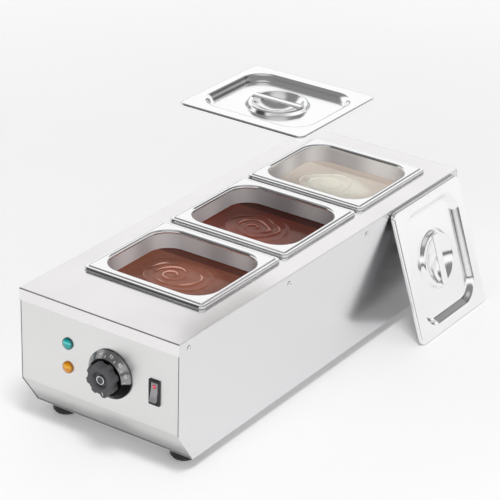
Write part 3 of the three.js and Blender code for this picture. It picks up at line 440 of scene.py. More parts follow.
def part_flats_at_middle(mesh, node):
    """Parts a sheet's flat faces along its middle only, so that no seam runs into a corner."""
    low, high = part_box(node)
    middle = (low[0] + high[0]) / 2
    bmesh.ops.bisect_plane(
        mesh, geom=mesh.verts[:] + mesh.edges[:] + mesh.faces[:],
        plane_co=(middle, 0, 0), plane_no=(1, 0, 0), dist=WELD_DISTANCE)
    spare = []
    for edge in mesh.edges:
        at_middle = all(abs(corner.co.x - middle) < WELD_DISTANCE for corner in edge.verts)
        if edge.is_manifold and edge.calc_face_angle() < FLAT_ANGLE and not at_middle:
            spare.append(edge)
    bmesh.ops.dissolve_edges(mesh, edges=spare, use_verts=False)


def fold_top_edges(mesh, node):
    """Rounds a sheet's folds along the top of its box, more at the front and rear than at the sides."""
    part_flats_at_middle(mesh, node)
    low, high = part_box(node)
    for axis, radius in ((1, FOLD_RADIUS), (0, SIDE_FOLD_RADIUS)):
        folds = []
        for edge in mesh.edges:
            corners = [corner.co for corner in edge.verts]
            on_top = all(abs(corner.z - high[2]) < WELD_DISTANCE for corner in corners)
            for limit in (low[axis], high[axis]):
                if on_top and all(abs(corner[axis] - limit) < WELD_DISTANCE for corner in corners):
                    folds.append(edge)
        rounded(mesh, folds, radius * MM, FOLD_STEPS)


def softened(node, material, width=SHEET_EDGE_RADIUS, segments=BEVEL_SEGMENTS, shaping=None):
    """Shows a node's own shape with its hard edges rounded, after any shaping of its own."""
    data = frame["nodes"][node].data.copy()
    mesh = bmesh.new()
    mesh.from_mesh(data)
    bmesh.ops.remove_doubles(mesh, verts=mesh.verts, dist=WELD_DISTANCE)
    bmesh.ops.dissolve_limit(mesh, angle_limit=FLAT_ANGLE, verts=mesh.verts, edges=mesh.edges)
    if shaping:
        shaping(mesh, node)
    mesh.to_mesh(data)
    mesh.free()
    packed_normals = data.attributes.get("custom_normal")
    if packed_normals:
        data.attributes.remove(packed_normals)
    data.materials.clear()
    data.materials.append(material)
    data.set_sharp_from_angle(angle=SMOOTH_ANGLE)
    for face in data.polygons:
        upright_or_level = max(abs(part) for part in face.normal) > UPRIGHT_OR_LEVEL
        face.use_smooth = not (shaping and upright_or_level)
    shown = added(f"{node}_shown", data)
    bevel = shown.modifiers.new("rounded edges", "BEVEL")
    bevel.limit_method = "ANGLE"
    bevel.angle_limit = SMOOTH_ANGLE
    bevel.width = width * MM
    bevel.segments = segments
    bevel.harden_normals = not shaping
    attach(shown, body_of[node])
    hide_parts(node)


def at(x, y, z):
    return Matrix.Translation((x, y, z))


def turn_about(axis, angle):
    """A turn about an axis, by an angle in degrees."""
    return Matrix.Rotation(math.radians(angle), 4, axis)


def facing_front(x, y, z):
    """Places a shape so that its own +Z points out of the casing's front."""
    return at(x, y, z) @ turn_about("X", 90)


# Material helpers
def shader(name):
    material = bpy.data.materials.new(name)
    material.use_nodes = True
    tree = material.node_tree
    return material, tree, tree.nodes["Principled BSDF"]


def feed(tree, node, inputs):
    """Gives a node's inputs values, colours or links, by the inputs' names or numbers."""
    for name, source in inputs.items():
        socket = node.inputs[name]
        if isinstance(source, bpy.types.NodeSocket):
            tree.links.new(source, socket)
        elif socket.type == "RGBA":
            socket.default_value = (*source, 1)
        else:
            socket.default_value = source


def fed(tree, kind, inputs):
    """Adds a shader node of a kind and feeds it."""
    node = tree.nodes.new(f"ShaderNode{kind}")
    feed(tree, node, inputs)
    return node


def stretched_noise(tree, scale, detail=4, stretch=(1, 1, 1)):
    """Noise in the object's own coordinates, drawn out along the axes with a small stretch."""
    place = fed(tree, "TexCoord", {}).outputs["Object"]
    mapped = fed(tree, "Mapping", {"Vector": place, "Scale": stretch}).outputs["Vector"]
    settings = {"Vector": mapped, "Scale": scale, "Detail": detail, "Roughness": NOISE_ROUGHNESS}
    return fed(tree, "TexNoise", settings).outputs["Fac"]


def carried_over(tree, value, before, after=(0, 1), blend="LINEAR"):
    """Carries a value from one range over to another."""
    limits = dict(zip(("From Min", "From Max", "To Min", "To Max"), (*before, *after)))
    node = fed(tree, "MapRange", {"Value": value, **limits})
    node.interpolation_type = blend
    return node.outputs["Result"]


def ranged(tree, value, low, high):
    """Maps a noise value to the range from low to high."""
    return carried_over(tree, value, NOISE_RANGE, (low, high))


def stepped(tree, value, low, high):
    """A soft step: nought at and below low, one at and above high."""
    return carried_over(tree, value, (low, high), blend="SMOOTHSTEP")


def tinted(tree, value, dark, light):
    """Blends two colours by a noise value."""
    ramp = fed(tree, "ValToRGB", {"Fac": value})
    for stop, position, colour in zip(ramp.color_ramp.elements, NOISE_RANGE, (dark, light)):
        stop.position = position
        stop.color = (*colour, 1)
    return ramp.outputs["Color"]


def uneven(tree, value, level, spread=GLOSS_SPREAD_SHARE):
    """Lets a noise value raise and lower a level by a share of it."""
    return ranged(tree, value, level * (1 - spread), level * (1 + spread))


def calculated(tree, operation, first, second=0):
    node = fed(tree, "Math", {0: first, 1: second})
    node.operation = operation
    return node.outputs["Value"]


def mixed(tree, factor, first, second):
    """Blends two colours, given as values or as links."""
    node = tree.nodes.new("ShaderNodeMix")
    node.data_type = "RGBA"
    feed(tree, node, {"Factor": factor, MIX_FIRST_COLOUR: first, MIX_SECOND_COLOUR: second})
    return node.outputs[MIX_COLOUR_OUT]


def place_parts(tree, centre=(0, 0, 0)):
    """X, Y and Z in metres from a place on the object."""
    place = fed(tree, "TexCoord", {}).outputs["Object"]
    shift = fed(tree, "VectorMath", {0: place, 1: centre})
    shift.operation = "SUBTRACT"
    split = fed(tree, "SeparateXYZ", {"Vector": shift.outputs["Vector"]})
    return [split.outputs[axis] for axis in "XYZ"]


def distance_out(tree, first, second):
    """The length of the slanting side over two others."""
    squares = [calculated(tree, "POWER", side, 2) for side in (first, second)]
    return calculated(tree, "SQRT", calculated(tree, "ADD", *squares))


def scaled(values, factor):
    return tuple(value * factor for value in values)


def steel(name, colour, roughness, grain, streaks=0.03, bend=0, under=1):
    """Sheet steel with faint streaks along its drawn grain and clouds of gloss; below a bend its colour is
    darkened by a share, painted shade.
    """
    material, tree, principled = shader(name)
    lines = stretched_noise(tree, 1, detail=1, stretch=grain)
    base = tinted(tree, lines, scaled(colour, 1 - streaks), colour)
    # Painted shade: below the bend the colour is darkened by the share given as under.
    if under < 1:
        _, _, up = place_parts(tree, (0, 0, bend))
        shaded_below_bend = tinted(tree, lines, scaled(colour, under - streaks), scaled(colour, under))
        base = mixed(tree, stepped(tree, up, -BEND_BLUR * MM, BEND_BLUR * MM), shaded_below_bend, base)
    gloss = uneven(tree, stretched_noise(tree, STEEL_CLOUDS, detail=2), roughness)
    feed(tree, principled, {"Base Color": base, "Metallic": 1, "Roughness": gloss})
    return material


def pressed_steel(name, rim_colour, rim_roughness, wall_dark, wall_light, wall_roughness, wall_metal):
    """Polished on the rim and satin below it, with soft upright streaks on the walls."""
    material, tree, principled = shader(name)
    top = box_middle("pan_front").z + PAN_DEPTH / 2 * MM
    _, _, height = place_parts(tree, (0, 0, top))
    on_rim = stepped(tree, height, -WALL_LOOK_BELOW_RIM * MM, -RIM_LOOK_BELOW_RIM * MM)
    streaks = stretched_noise(tree, WALL_STREAKS, detail=0, stretch=WALL_STREAK_STRETCH)
    grain = stretched_noise(tree, RIM_GRAIN, detail=1)
    wall = tinted(tree, streaks, wall_dark, wall_light)
    rim = tinted(tree, grain, scaled(rim_colour, 1 - RIM_GRAIN_SHARE), rim_colour)
    feed(tree, principled, {
        "Base Color": mixed(tree, on_rim, wall, rim),
        "Roughness": carried_over(tree, on_rim, (0, 1), (wall_roughness, rim_roughness)),
        "Metallic": carried_over(tree, on_rim, (0, 1), (wall_metal, 1)),
    })
    return material


def moulded(name, colour, roughness, grain_strength=0.1, metal=0):
    """Moulded plastic or rubber with a fine even grain."""
    material, tree, principled = shader(name)
    clouds = stretched_noise(tree, MOULDED_CLOUDS, detail=2)
    grain = stretched_noise(tree, MOULDED_GRAIN, detail=1)
    bump = fed(tree, "Bump", {
        "Height": grain, "Strength": grain_strength, "Distance": MOULDED_GRAIN_HEIGHT * MM})
    feed(tree, principled, {
        "Base Color": tinted(tree, clouds, scaled(colour, 1 - MOULDED_CLOUD_SHARE), colour),
        "Metallic": metal,
        "Roughness": uneven(tree, clouds, roughness),
        "Normal": bump.outputs["Normal"],
    })
    return material


def scale_band(name, centre, dark, sheen_colour, roughness):
    """A black skirt with a satin metal band behind its numerals, between two angles round its centre, over the
    skirt's upper half: the band's pale colour is painted sheen from the light above, and its metal also reflects
    real light.
    """
    material, tree, principled = shader(name)
    across, _, up = place_parts(tree, centre)
    angle = calculated(tree, "DEGREES", calculated(tree, "ARCTAN2", up, across))
    begun = stepped(tree, angle, BAND_START - BAND_EDGE, BAND_START)
    ended = stepped(tree, angle, BAND_END, BAND_END + BAND_EDGE)
    cone_start = (SKIRT_FRONT_RADIUS - BAND_BLUR, SKIRT_FRONT_RADIUS)
    on_cone = stepped(tree, distance_out(tree, across, up), *scaled(cone_start, MM))
    strength = calculated(tree, "MULTIPLY", calculated(tree, "SUBTRACT", begun, ended), on_cone)
    streaks = stretched_noise(tree, BAND_STREAKS, detail=2)
    # Painted sheen: the band's pale streaked colour.
    streaked_sheen = tinted(tree, streaks, scaled(sheen_colour, 1 - BAND_STREAK_SHARE), sheen_colour)
    feed(tree, principled, {
        "Base Color": mixed(tree, strength, dark, streaked_sheen),
        "Metallic": calculated(tree, "MULTIPLY", strength, BAND_METAL),
        "Roughness": roughness,
        "Specular IOR Level": 0.06,
    })
    return material


def coloured_lens(name, rim, core, highlight_colour, centre, radius):
    """A tinted lens: a darker rim, a vivid core and a painted highlight, a paler band across its upper half."""
    material, tree, principled = shader(name)
    across, _, up = place_parts(tree, centre)
    at_rim = stepped(tree, distance_out(tree, across, up), *scaled(LENS_RIM_SHARES, radius * MM))
    # Painted highlight: a paler band across the lens's upper half.
    above = stepped(tree, up, *scaled(LENS_BAND_FOOT_SHARES, radius * MM))
    over = stepped(tree, up, *scaled(LENS_BAND_TOP_SHARES, radius * MM))
    painted_highlight = calculated(tree, "SUBTRACT", above, over)
    colour = mixed(tree, at_rim, mixed(tree, painted_highlight, core, highlight_colour), rim)
    feed(tree, principled, {
        "Base Color": colour,
        "Emission Color": colour,
        "Emission Strength": 0.25,
        "Roughness": 0.08,
        "Coat Weight": 0.3,
        "Coat Roughness": 0.03,
    })
    return material


def melted(name, filling, tones, roughness, tint=(1, 1, 1)):
    """Melted chocolate over a glossy surface, in its middle tone, with painted shade towards the pan's walls,
    painted highlights on the spiral's crests and a painted shadow along the back wall.
    """
    edge, middle, crest_highlight_tone, back_wall_shade = tones
    material, tree, principled = shader(name)
    centre = box_middle(filling)
    centre.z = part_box(f"pan_{filling.split('_')[1]}")[1][2] - CHOCOLATE_BELOW_RIM * MM
    across, along, height = place_parts(tree, centre)
    streaks = stretched_noise(tree, MELT_STREAKS, detail=3, stretch=MELT_STREAK_STRETCH)
    wander = ranged(tree, streaks, -MELT_WANDER * MM, MELT_WANDER * MM)
    out = calculated(tree, "ADD", distance_out(tree, across, along), wander)
    # Painted shade: the melt darkens towards the pan's walls.
    shade_towards_walls = stepped(tree, out, MELT_MIDDLE * MM, MELT_EDGE * MM)
    # Painted highlight: the spiral's crests are paler.
    highlight_on_crests = stepped(tree, height, CREST_HIGHLIGHT_LOW * MM, CREST_HIGHLIGHT_HIGH * MM)
    # Painted shadow: a dark strip along the back wall.
    back_shade_start = (MELT_BACK_SHADE - BACK_SHADE_BLUR, MELT_BACK_SHADE + BACK_SHADE_BLUR)
    shade_at_back = stepped(tree, along, *scaled(back_shade_start, MM))
    colour = mixed(tree, shade_towards_walls, middle, edge)
    colour = mixed(tree, highlight_on_crests, colour, crest_highlight_tone)
    colour = mixed(tree, shade_at_back, colour, back_wall_shade)
    feed(tree, principled, {
        "Base Color": colour,
        "Roughness": uneven(tree, streaks, roughness, MELT_GLOSS_SPREAD_SHARE),
        "Specular IOR Level": 0.2,
        "Specular Tint": tint,
        "Subsurface Weight": 0.08,
        "Subsurface Radius": scaled(MELT_LIGHT_DEPTHS, MM),
    })
    return material


# Materials
casing_steel = steel("casing_steel", (0.87, 0.855, 0.855), 0.22, GRAIN_ALONG_Y, 0.012)
# The side and front panels' steel is painted darker than the top cover's: shaded copies of one steel, painted
# shade.
shaded_side_steel = steel("shaded_side_steel", (0.77, 0.765, 0.775), 0.2, GRAIN_ALONG_Y, 0.012)
# Painted shade: the chamfer below the front's bend is darkened to this share.
shaded_front_steel = steel(
    "shaded_front_steel", (0.79, 0.785, 0.78), 0.33, GRAIN_ALONG_X, 0.012,
    bend=casing_high.z - FRONT_FACE_HEIGHT * MM, under=0.84)
pan_steel = pressed_steel(
    "pan_steel", (0.88, 0.88, 0.885), 0.13, (0.5, 0.48, 0.49), (1, 1, 1), 0.5, 0.12)
lid_steel = steel("lid_steel", (0.93, 0.93, 0.935), 0.17, GRAIN_ALONG_X, 0.01)
# The lids' undersides are a duller satin; the leaning lid's is painted far darker, painted shade for the shade
# between it and the side panel, which the side panel mirrors.
raised_underside = steel("raised_underside", (0.78, 0.77, 0.77), 0.5, GRAIN_ALONG_X, 0.06)
shaded_leaning_underside = steel("shaded_leaning_underside", (0.36, 0.36, 0.37), 0.5, GRAIN_ALONG_X, 0.1)
inner_steel = steel("inner_steel", (0.56, 0.56, 0.57), 0.38, GRAIN_ALONG_X)
element_steel = steel("element_steel", (0.11, 0.095, 0.085), 0.5, EVEN_GRAIN, 0.3)
bright_chrome = steel("bright_chrome", (0.8, 0.82, 0.85), 0.08, EVEN_GRAIN)
# Chrome painted near black: painted shade for the shade under the casing that the feet's sleeves mirror.
shaded_foot_chrome = steel("shaded_foot_chrome", (0.06, 0.06, 0.065), 0.12, EVEN_GRAIN)
screw_steel = steel("screw_steel", (0.85, 0.85, 0.87), 0.2, EVEN_GRAIN)
tube_copper = steel("tube_copper", (0.55, 0.23, 0.1), 0.22, EVEN_GRAIN, 0.1)
foot_rubber = moulded("foot_rubber", (0.012, 0.012, 0.013), 0.75)
black_plastic = moulded("black_plastic", (0.013, 0.013, 0.015), 0.34)
# The dial skirt: black, with a painted sheen over its upper half.
skirt_with_painted_sheen = scale_band(
    "skirt_with_painted_sheen", box_middle("dial_skirt"), (0.003, 0.003, 0.003), (0.34, 0.34, 0.345), 0.22)
grip_plastic = moulded("grip_plastic", (0.085, 0.085, 0.09), 0.36)
rocker_plastic = moulded("rocker_plastic", (0.45, 0.43, 0.45), 0.24, grain_strength=0.03, metal=0.3)
pale_plastic = moulded("pale_plastic", (0.72, 0.7, 0.62), 0.45)
lead_sleeve = moulded("lead_sleeve", (0.03, 0.05, 0.24), 0.35)
white_ink = moulded("white_ink", (0.85, 0.85, 0.85), 0.4, grain_strength=0.02)
# Each lens's third colour is its painted highlight.
green_lens = coloured_lens(
    "green_lens", (0.0, 0.08, 0.09), (0.0, 0.34, 0.32), (0.1, 0.6, 0.58),
    box_middle("green_lamp_lens"), LENS_RADIUS)
orange_lens = coloured_lens(
    "orange_lens", (0.34, 0.12, 0.0), (0.68, 0.26, 0.0), (0.78, 0.42, 0.02),
    box_middle("orange_lamp_lens"), LENS_RADIUS)
red_lens = coloured_lens(
    "red_lens", (0.3, 0.0, 0.02), (0.75, 0.01, 0.05), (1.0, 0.25, 0.3),
    box_middle("switch_lens"), RED_LENS_RADIUS)
milk_melt = melted("milk_melt", "chocolate_front", MILK_TONES, 0.16, WARM)
dark_melt = melted("dark_melt", "chocolate_middle", DARK_TONES, 0.15, WARM)
white_melt = melted("white_melt", "chocolate_rear", WHITE_TONES, 0.22)


# Casing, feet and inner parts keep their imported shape, with rounded edges
def dress_casing():
    softened("top_cover", casing_steel, shaping=fold_top_edges)
    softened("rear_panel", casing_steel)
    softened("side_panel_left", shaded_side_steel)
    softened("side_panel_right", shaded_side_steel)
    softened("front_panel", shaded_front_steel)
    softened("bottom_plate", inner_steel)


def dress_seams():
    """A thin dark strip at the joint between the front panel and each side panel: painted shadow of the gap there.
    """
    _, face, foot = (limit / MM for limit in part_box("front_panel")[0])
    top = casing_high.z / MM
    bend = top - FRONT_FACE_HEIGHT
    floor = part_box("side_panel_left")[0][2] / MM
    slope = CHAMFER_DEPTH / (bend - floor)
    line = [(face, top - LIP_HEIGHT), (face, bend), (face + (bend - foot) * slope, foot)]
    outline = line + [(y - SEAM_BULGE, z) for y, z in reversed(line)]
    for side, edge, inwards in (("left", casing_low.x / MM, 1), ("right", casing_high.x / MM, -1)):
        ends = sorted((edge + inwards * SEAM_FROM_SIDE, edge + inwards * (SEAM_FROM_SIDE + SEAM_WIDTH)))
        piece(f"seam_{side}", extruded(outline, *ends), Matrix(), black_plastic, "casing")


def dress_feet():
    for corner in ("front_left", "front_right", "rear_left", "rear_right"):
        softened(f"foot_core_{corner}", foot_rubber, FITTING_EDGE_RADIUS)
        softened(f"foot_sleeve_{corner}", shaded_foot_chrome, FITTING_EDGE_RADIUS)


def dress_inside():
    for material, *nodes in (
        (inner_steel, "well_tank"),
        (element_steel, "heating_element"),
        (inner_steel, "element_bar_front", "element_bar_rear"),
        (tube_copper, "sensor_bulb"),
        (inner_steel, "bulb_clip"),
        (tube_copper, "capillary_tube"),
        (pale_plastic, "thermostat_body"),
        (bright_chrome, "thermostat_screw_left", "thermostat_screw_right", "thermostat_shaft"),
        (black_plastic, "green_lamp_body", "orange_lamp_body", "overheat_cutout"),
        (pale_plastic, "terminal_block"),
        (lead_sleeve, "lead_to_switch", "lead_to_thermostat", "lead_to_element"),
        (black_plastic, "cable_gland", "gland_locknut"),
    ):
        for node in nodes:
            softened(node, material)


# Side screws: a domed head with a round recess
def screw_head():
    head = dome(SCREW_HEAD_RADIUS, SCREW_HEAD_HEIGHT)
    rim = [(radius, height) for radius, height in head if radius > SCREW_SOCKET_RADIUS]
    top = rim[-1][1]
    profile = [(SCREW_SHANK_RADIUS, -SCREW_SHANK_LENGTH), (SCREW_SHANK_RADIUS, 0)] + rim
    socket_foot = SCREW_SOCKET_RADIUS * SCREW_SOCKET_FOOT_SHARE
    profile += [(SCREW_SOCKET_RADIUS, top), (socket_foot, top - SCREW_SOCKET_DEPTH)]
    return turned(profile, SMALL_ROUND_STEPS)


def dress_side_screws():
    for side, face, outwards in (("left", casing_low.x, -1), ("right", casing_high.x, 1)):
        for number in range(1, SCREWS_A_SIDE + 1):
            node = f"side_screw_{side}_{number}"
            middle = box_middle(node)
            place = at(face + outwards * GAP * MM, middle.y, middle.z) @ turn_about("Y", outwards * 90)
            remade(node, screw_head(), place, screw_steel)


# Pans: pressed steel with a stepped rim, a bent opening and a rounded floor
OPENING = (PAN_LENGTH / 2 - RIM_AT_SIDES, PAN_WIDTH / 2 - RIM_AT_ENDS, OPENING_CORNER_RADIUS)
RIM_EDGE = (PAN_LENGTH / 2, PAN_WIDTH / 2, RIM_CORNER_RADIUS)
WALL_FOOT = PAN_DEPTH - PAN_SHEET - PAN_FLOOR_RADIUS


def shrunk(shape, by):
    return tuple(size - by for size in shape)


def on(shape, section):
    """Carries a section's (inset, height) points round a rounded shape."""
    return [(shape, inset, height) for inset, height in section]


def pressed(rings, corner_steps=CORNER_STEPS):
    """A pressed sheet's skin over (shape, inset, height) rings."""
    return loft([
        rounded_ring(*shrunk(shape, inset), height, corner_steps) for shape, inset, height in rings])


def wall_inset(depth):
    return PAN_TAPER * depth / PAN_DEPTH


def floor_bend(outside):
    """(inset, height) points round the pan's foot, from the floor up to the wall."""
    radius = PAN_FLOOR_RADIUS + outside
    centre = (wall_inset(WALL_FOOT) + PAN_FLOOR_RADIUS, -WALL_FOOT)
    return arc(centre, radius, 270, 180, PAN_FLOOR_STEPS)


def opening_bend(outside):
    """(inset, height) points from the wall up to the rim."""
    radius = OPENING_BEND - outside
    return arc((-OPENING_BEND, -OPENING_BEND), radius, 0, 90)


def rim_profile():
    """(inset, height) points over the rim, from its underside at the wall round the lip to its top."""
    step_top = RIM_STEP_FROM_EDGE + RIM_STEP_RUN
    low = GAP - RIM_HEIGHT
    edge = arc((RIM_EDGE_RADIUS, -RIM_STEP - RIM_EDGE_RADIUS), RIM_EDGE_RADIUS, 180, 90, EDGE_STEPS)
    return [
        (step_top, -PAN_SHEET),
        (RIM_STEP_FROM_EDGE, -RIM_STEP - PAN_SHEET),
        (PAN_SHEET, -RIM_STEP - PAN_SHEET),
        (PAN_SHEET, low),
        (0, low),
        *edge,
        (RIM_STEP_FROM_EDGE - SUPPORT, -RIM_STEP),
        (RIM_STEP_FROM_EDGE, -RIM_STEP),
        (step_top, 0),
        (step_top + SUPPORT, 0),
    ]


def pan_mesh():
    rings = on(OPENING, floor_bend(PAN_SHEET) + opening_bend(PAN_SHEET)) + on(RIM_EDGE, rim_profile())
    return pressed(rings + on(OPENING, opening_bend(0)[::-1] + floor_bend(0)[::-1]))


# Melted chocolate: a level surface that a spoon has drawn into a spiral
def rounded_reach(angle, half_x, half_y, radius):
    """How far a rounded rectangle's edge lies from its middle in a direction."""
    along_x = abs(math.cos(angle))
    along_y = abs(math.sin(angle))
    corner_x = half_x - radius
    corner_y = half_y - radius
    if along_y * half_x <= corner_y * along_x:
        return half_x / along_x
    if along_x * half_y <= corner_x * along_y:
        return half_y / along_y
    along = along_x * corner_x + along_y * corner_y
    return along + math.sqrt(along ** 2 - corner_x ** 2 - corner_y ** 2 + radius ** 2)


def even_ring(shape, share, height_at):
    points = []
    for step in range(CHOCOLATE_SIDES):
        angle = 2 * math.pi * step / CHOCOLATE_SIDES
        reach = rounded_reach(angle, *shape) * share
        x = reach * math.cos(angle)
        y = reach * math.sin(angle)
        points.append((x, y, height_at(x, y)))
    return points


def crest(share):
    """A wave's section: a quick rise and a long fall."""
    if share < SWIRL_CREST_SHARE:
        rise = share / SWIRL_CREST_SHARE
        return rise * rise * (3 - 2 * rise)
    return math.exp(-(share - SWIRL_CREST_SHARE) / SWIRL_FALL_SHARE)


def swirl(across, along, seed):
    """How high the spiral stands at a place on the surface."""
    x = across - SWIRL_CENTRE[0]
    y = along - SWIRL_CENTRE[1]
    shift = noise.noise(Vector((x / SWIRL_WANDER_SIZE, y / SWIRL_WANDER_SIZE, seed))) * SWIRL_WANDER
    distance = math.hypot(x, y / SWIRL_STRETCH) + shift
    turn = math.atan2(y / SWIRL_STRETCH, x)
    phase = (distance / SWIRL_PITCH - turn / (2 * math.pi)) % 1
    fade = max(0, 1 - (distance / SWIRL_REACH) ** 2) * min(1, max(0, distance) / SWIRL_EYE)
    patch = noise.noise(Vector((x / PATCH_SIZE, y / PATCH_SIZE, seed + PATCH_SEED)))
    return SWIRL_HEIGHT * fade * max(0, PATCH_LEVEL + patch) * crest(phase)


def chocolate_mesh(seed):
    level = -CHOCOLATE_BELOW_RIM
    surface = shrunk(OPENING, wall_inset(CHOCOLATE_BELOW_RIM) + GAP)
    floor = [(inset + GAP, height + GAP) for inset, height in floor_bend(0)]
    rings = [even_ring(shrunk(OPENING, inset), 1, lambda x, y, z=height: z) for inset, height in floor]
    rings.append(even_ring(surface, 1, lambda x, y: level + MENISCUS_HEIGHT))
    for step in range(1, CHOCOLATE_RINGS):
        share = 1 - step / CHOCOLATE_RINGS
        from_wall = (1 - share) * OPENING[1]
        base = level + MENISCUS_HEIGHT * math.exp(-from_wall / MENISCUS_WIDTH)
        rings.append(even_ring(surface, share, lambda x, y, base=base: base + swirl(x, y, seed)))
    return loft(rings)


def dress_pans():
    melts = (("front", milk_melt), ("middle", dark_melt), ("rear", white_melt))
    for number, (place_name, melt) in enumerate(melts):
        pan = f"pan_{place_name}"
        place = at(*box_middle(pan).xy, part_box(pan)[1][2])
        remade(pan, pan_mesh(), place, pan_steel)
        remade(f"chocolate_{place_name}", chocolate_mesh(number * SEED_STEP), place, melt)


# Lids: a turned-down edge, a sunk middle, and a raised ring round a finger bowl
LID_OVERHANG = LID_LAP + LID_SHEET
LID_EDGE = (PAN_LENGTH / 2 + LID_OVERHANG, PAN_WIDTH / 2 + LID_OVERHANG, LID_CORNER_RADIUS)
LID_FLOOR = LID_LIP - LID_RECESS_DEPTH
LID_CROWN = LID_FLOOR + BOSS_RISE


def recess_bend():
    """(inset, height) points of the smooth wall from the lid's rim down to its sunk middle."""
    run = LID_RECESS_SLOPE + 2 * LID_RECESS_BEND
    points = [(-LID_RECESS_BEND - SUPPORT, LID_LIP)]
    for step in range(RECESS_STEPS + 1):
        share = step / RECESS_STEPS
        sunk = (1 - math.cos(math.pi * share)) / 2
        points.append((run * share - LID_RECESS_BEND, LID_LIP - LID_RECESS_DEPTH * sunk))
    return points + [(LID_RECESS_SLOPE + LID_RECESS_BEND + SUPPORT, LID_FLOOR)]


def boss_bend():
    """(inset, height) points of the raised ring, from its foot to its crown."""
    foot = arc((-BOSS_FOOT_OUT, LID_FLOOR + BOSS_BEND), BOSS_BEND, 270, BOSS_FOOT_ANGLE)
    shoulder_in = BOSS_RADIUS - BOSS_CROWN + BOSS_SHOULDER_IN
    shoulder = arc((shoulder_in, LID_CROWN - BOSS_BEND), BOSS_BEND, BOSS_SHOULDER_ANGLE, 90)
    return [(-BOSS_FOOT_OUT - SUPPORT, LID_FLOOR)] + foot + shoulder


def bowl_bend():
    """(inset, height) points down the finger bowl, from its rounded brim to near its middle."""
    drops = [(BOWL_RADIUS + out, drop) for out, drop in BOWL_BRIM]
    drops += dome(BOWL_RADIUS, BOWL_DEPTH, BOWL_STEPS)[1:]
    return [(BOSS_RADIUS - radius, LID_CROWN - drop) for radius, drop in drops]


def lid_profile():
    """(shape, inset, height) of the upper skin, from the lip's lower edge to the middle of the bowl."""
    lip = arc((LID_EDGE_RADIUS, LID_LIP - LID_EDGE_RADIUS), LID_EDGE_RADIUS, 180, 90, EDGE_STEPS)
    recess = shrunk(OPENING, LID_RECESS_CLEARANCE)
    ring = (BOSS_RADIUS, BOSS_RADIUS, BOSS_RADIUS)
    return on(LID_EDGE, [(0, 0)] + lip) + on(recess, recess_bend()) + on(ring, boss_bend() + bowl_bend())


def lid_mesh():
    """One lid's sheet, with the faces under it marked for a material of their own."""
    top = lid_profile()
    from_lip_top = top[EDGE_STEPS + 1:]
    under = [(shape, inset, height - LID_SHEET) for shape, inset, height in from_lip_top][::-1]
    inner_lip = on(LID_EDGE, [(LID_SHEET, LID_LIP - LID_SHEET), (LID_SHEET, 0)])
    mesh = pressed(under + inner_lip + top, LID_CORNER_STEPS)
    for face in mesh.faces:
        if face.normal.z < 0 and face.calc_center_median().z < LID_LIP - LID_SHEET / 2:
            face.material_index = 1
    return mesh


def handle_mesh():
    """A strap with a raised middle band, welded to the ring at both ends."""
    half = BOSS_CROWN * HANDLE_LENGTH_SHARE
    low = LID_CROWN + GAP
    side = [(HANDLE_WIDTH * across, low + HANDLE_THICKNESS * up) for across, up in HANDLE_SECTION_SHARES]
    outline = side + [(-y, z) for y, z in reversed(side)]
    return bevelled(extruded(outline, -half, half), HANDLE_EDGE, HANDLE_EDGE_ANGLE)


def dress_lids():
    raised_place = at(*box_middle("raised_lid").xy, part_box("raised_lid")[1][2] - LID_LIP * MM)
    lean = math.radians(LEANING_ANGLE)
    half = LID_EDGE[0] * MM
    against = casing_high.x + GAP * MM
    leaning_y = box_middle("leaning_lid").y
    leaning_place = at(against + half * math.cos(lean), leaning_y, half * math.sin(lean))
    leaning_place = leaning_place @ turn_about("Y", LEANING_ANGLE)
    for node, place, underside in (
        ("raised_lid", raised_place, raised_underside),
        ("leaning_lid", leaning_place, shaded_leaning_underside),
    ):
        remade(node, lid_mesh(), place, lid_steel, underside)
        remade(f"{node}_handle", handle_mesh(), place, lid_steel)


# Dial: a black skirt with numerals, a fluted grip with a pointer, and a bright cap
SKIRT_FRONT = SKIRT_BACK + SKIRT_HEIGHT
GRIP_BACK = SKIRT_FRONT + GAP
GRIP_FRONT = GRIP_BACK + GRIP_HEIGHT


def skirt_mesh():
    edge_middle = (SKIRT_RADIUS - SKIRT_EDGE_RADIUS, SKIRT_BACK + SKIRT_EDGE - SKIRT_EDGE_RADIUS)
    shoulder_middle = (SKIRT_FRONT_RADIUS - SKIRT_SHOULDER_RADIUS, SKIRT_FRONT - SKIRT_SHOULDER_RADIUS)
    profile = [(SKIRT_BORE, SKIRT_BACK), (SKIRT_RADIUS, SKIRT_BACK)]
    profile += arc(edge_middle, SKIRT_EDGE_RADIUS, 0, SKIRT_EDGE_ANGLE, SMALL_BEND_STEPS)
    profile += arc(shoulder_middle, SKIRT_SHOULDER_RADIUS, SKIRT_SHOULDER_ANGLE, 90, SMALL_BEND_STEPS)
    profile += [(GRIP_RADIUS - SKIRT_UNDER_GRIP, SKIRT_FRONT), (SKIRT_BORE, SKIRT_FRONT)]
    return turned(profile, SKIRT_ROUND_STEPS)


def on_skirt(along, up, angle):
    """A point on the skirt's cone: up is measured outwards along the slope from its middle."""
    run = SKIRT_RADIUS - SKIRT_FRONT_RADIUS
    fall = SKIRT_HEIGHT - SKIRT_EDGE
    slope = math.hypot(run, fall)
    radius = (SKIRT_RADIUS + SKIRT_FRONT_RADIUS) / 2 + up * run / slope + INK * fall / slope
    depth = (SKIRT_BACK + SKIRT_EDGE + SKIRT_FRONT) / 2 - up * fall / slope + INK * run / slope
    turn = math.radians(angle) - along / radius
    return (radius * math.cos(turn), radius * math.sin(turn), depth)


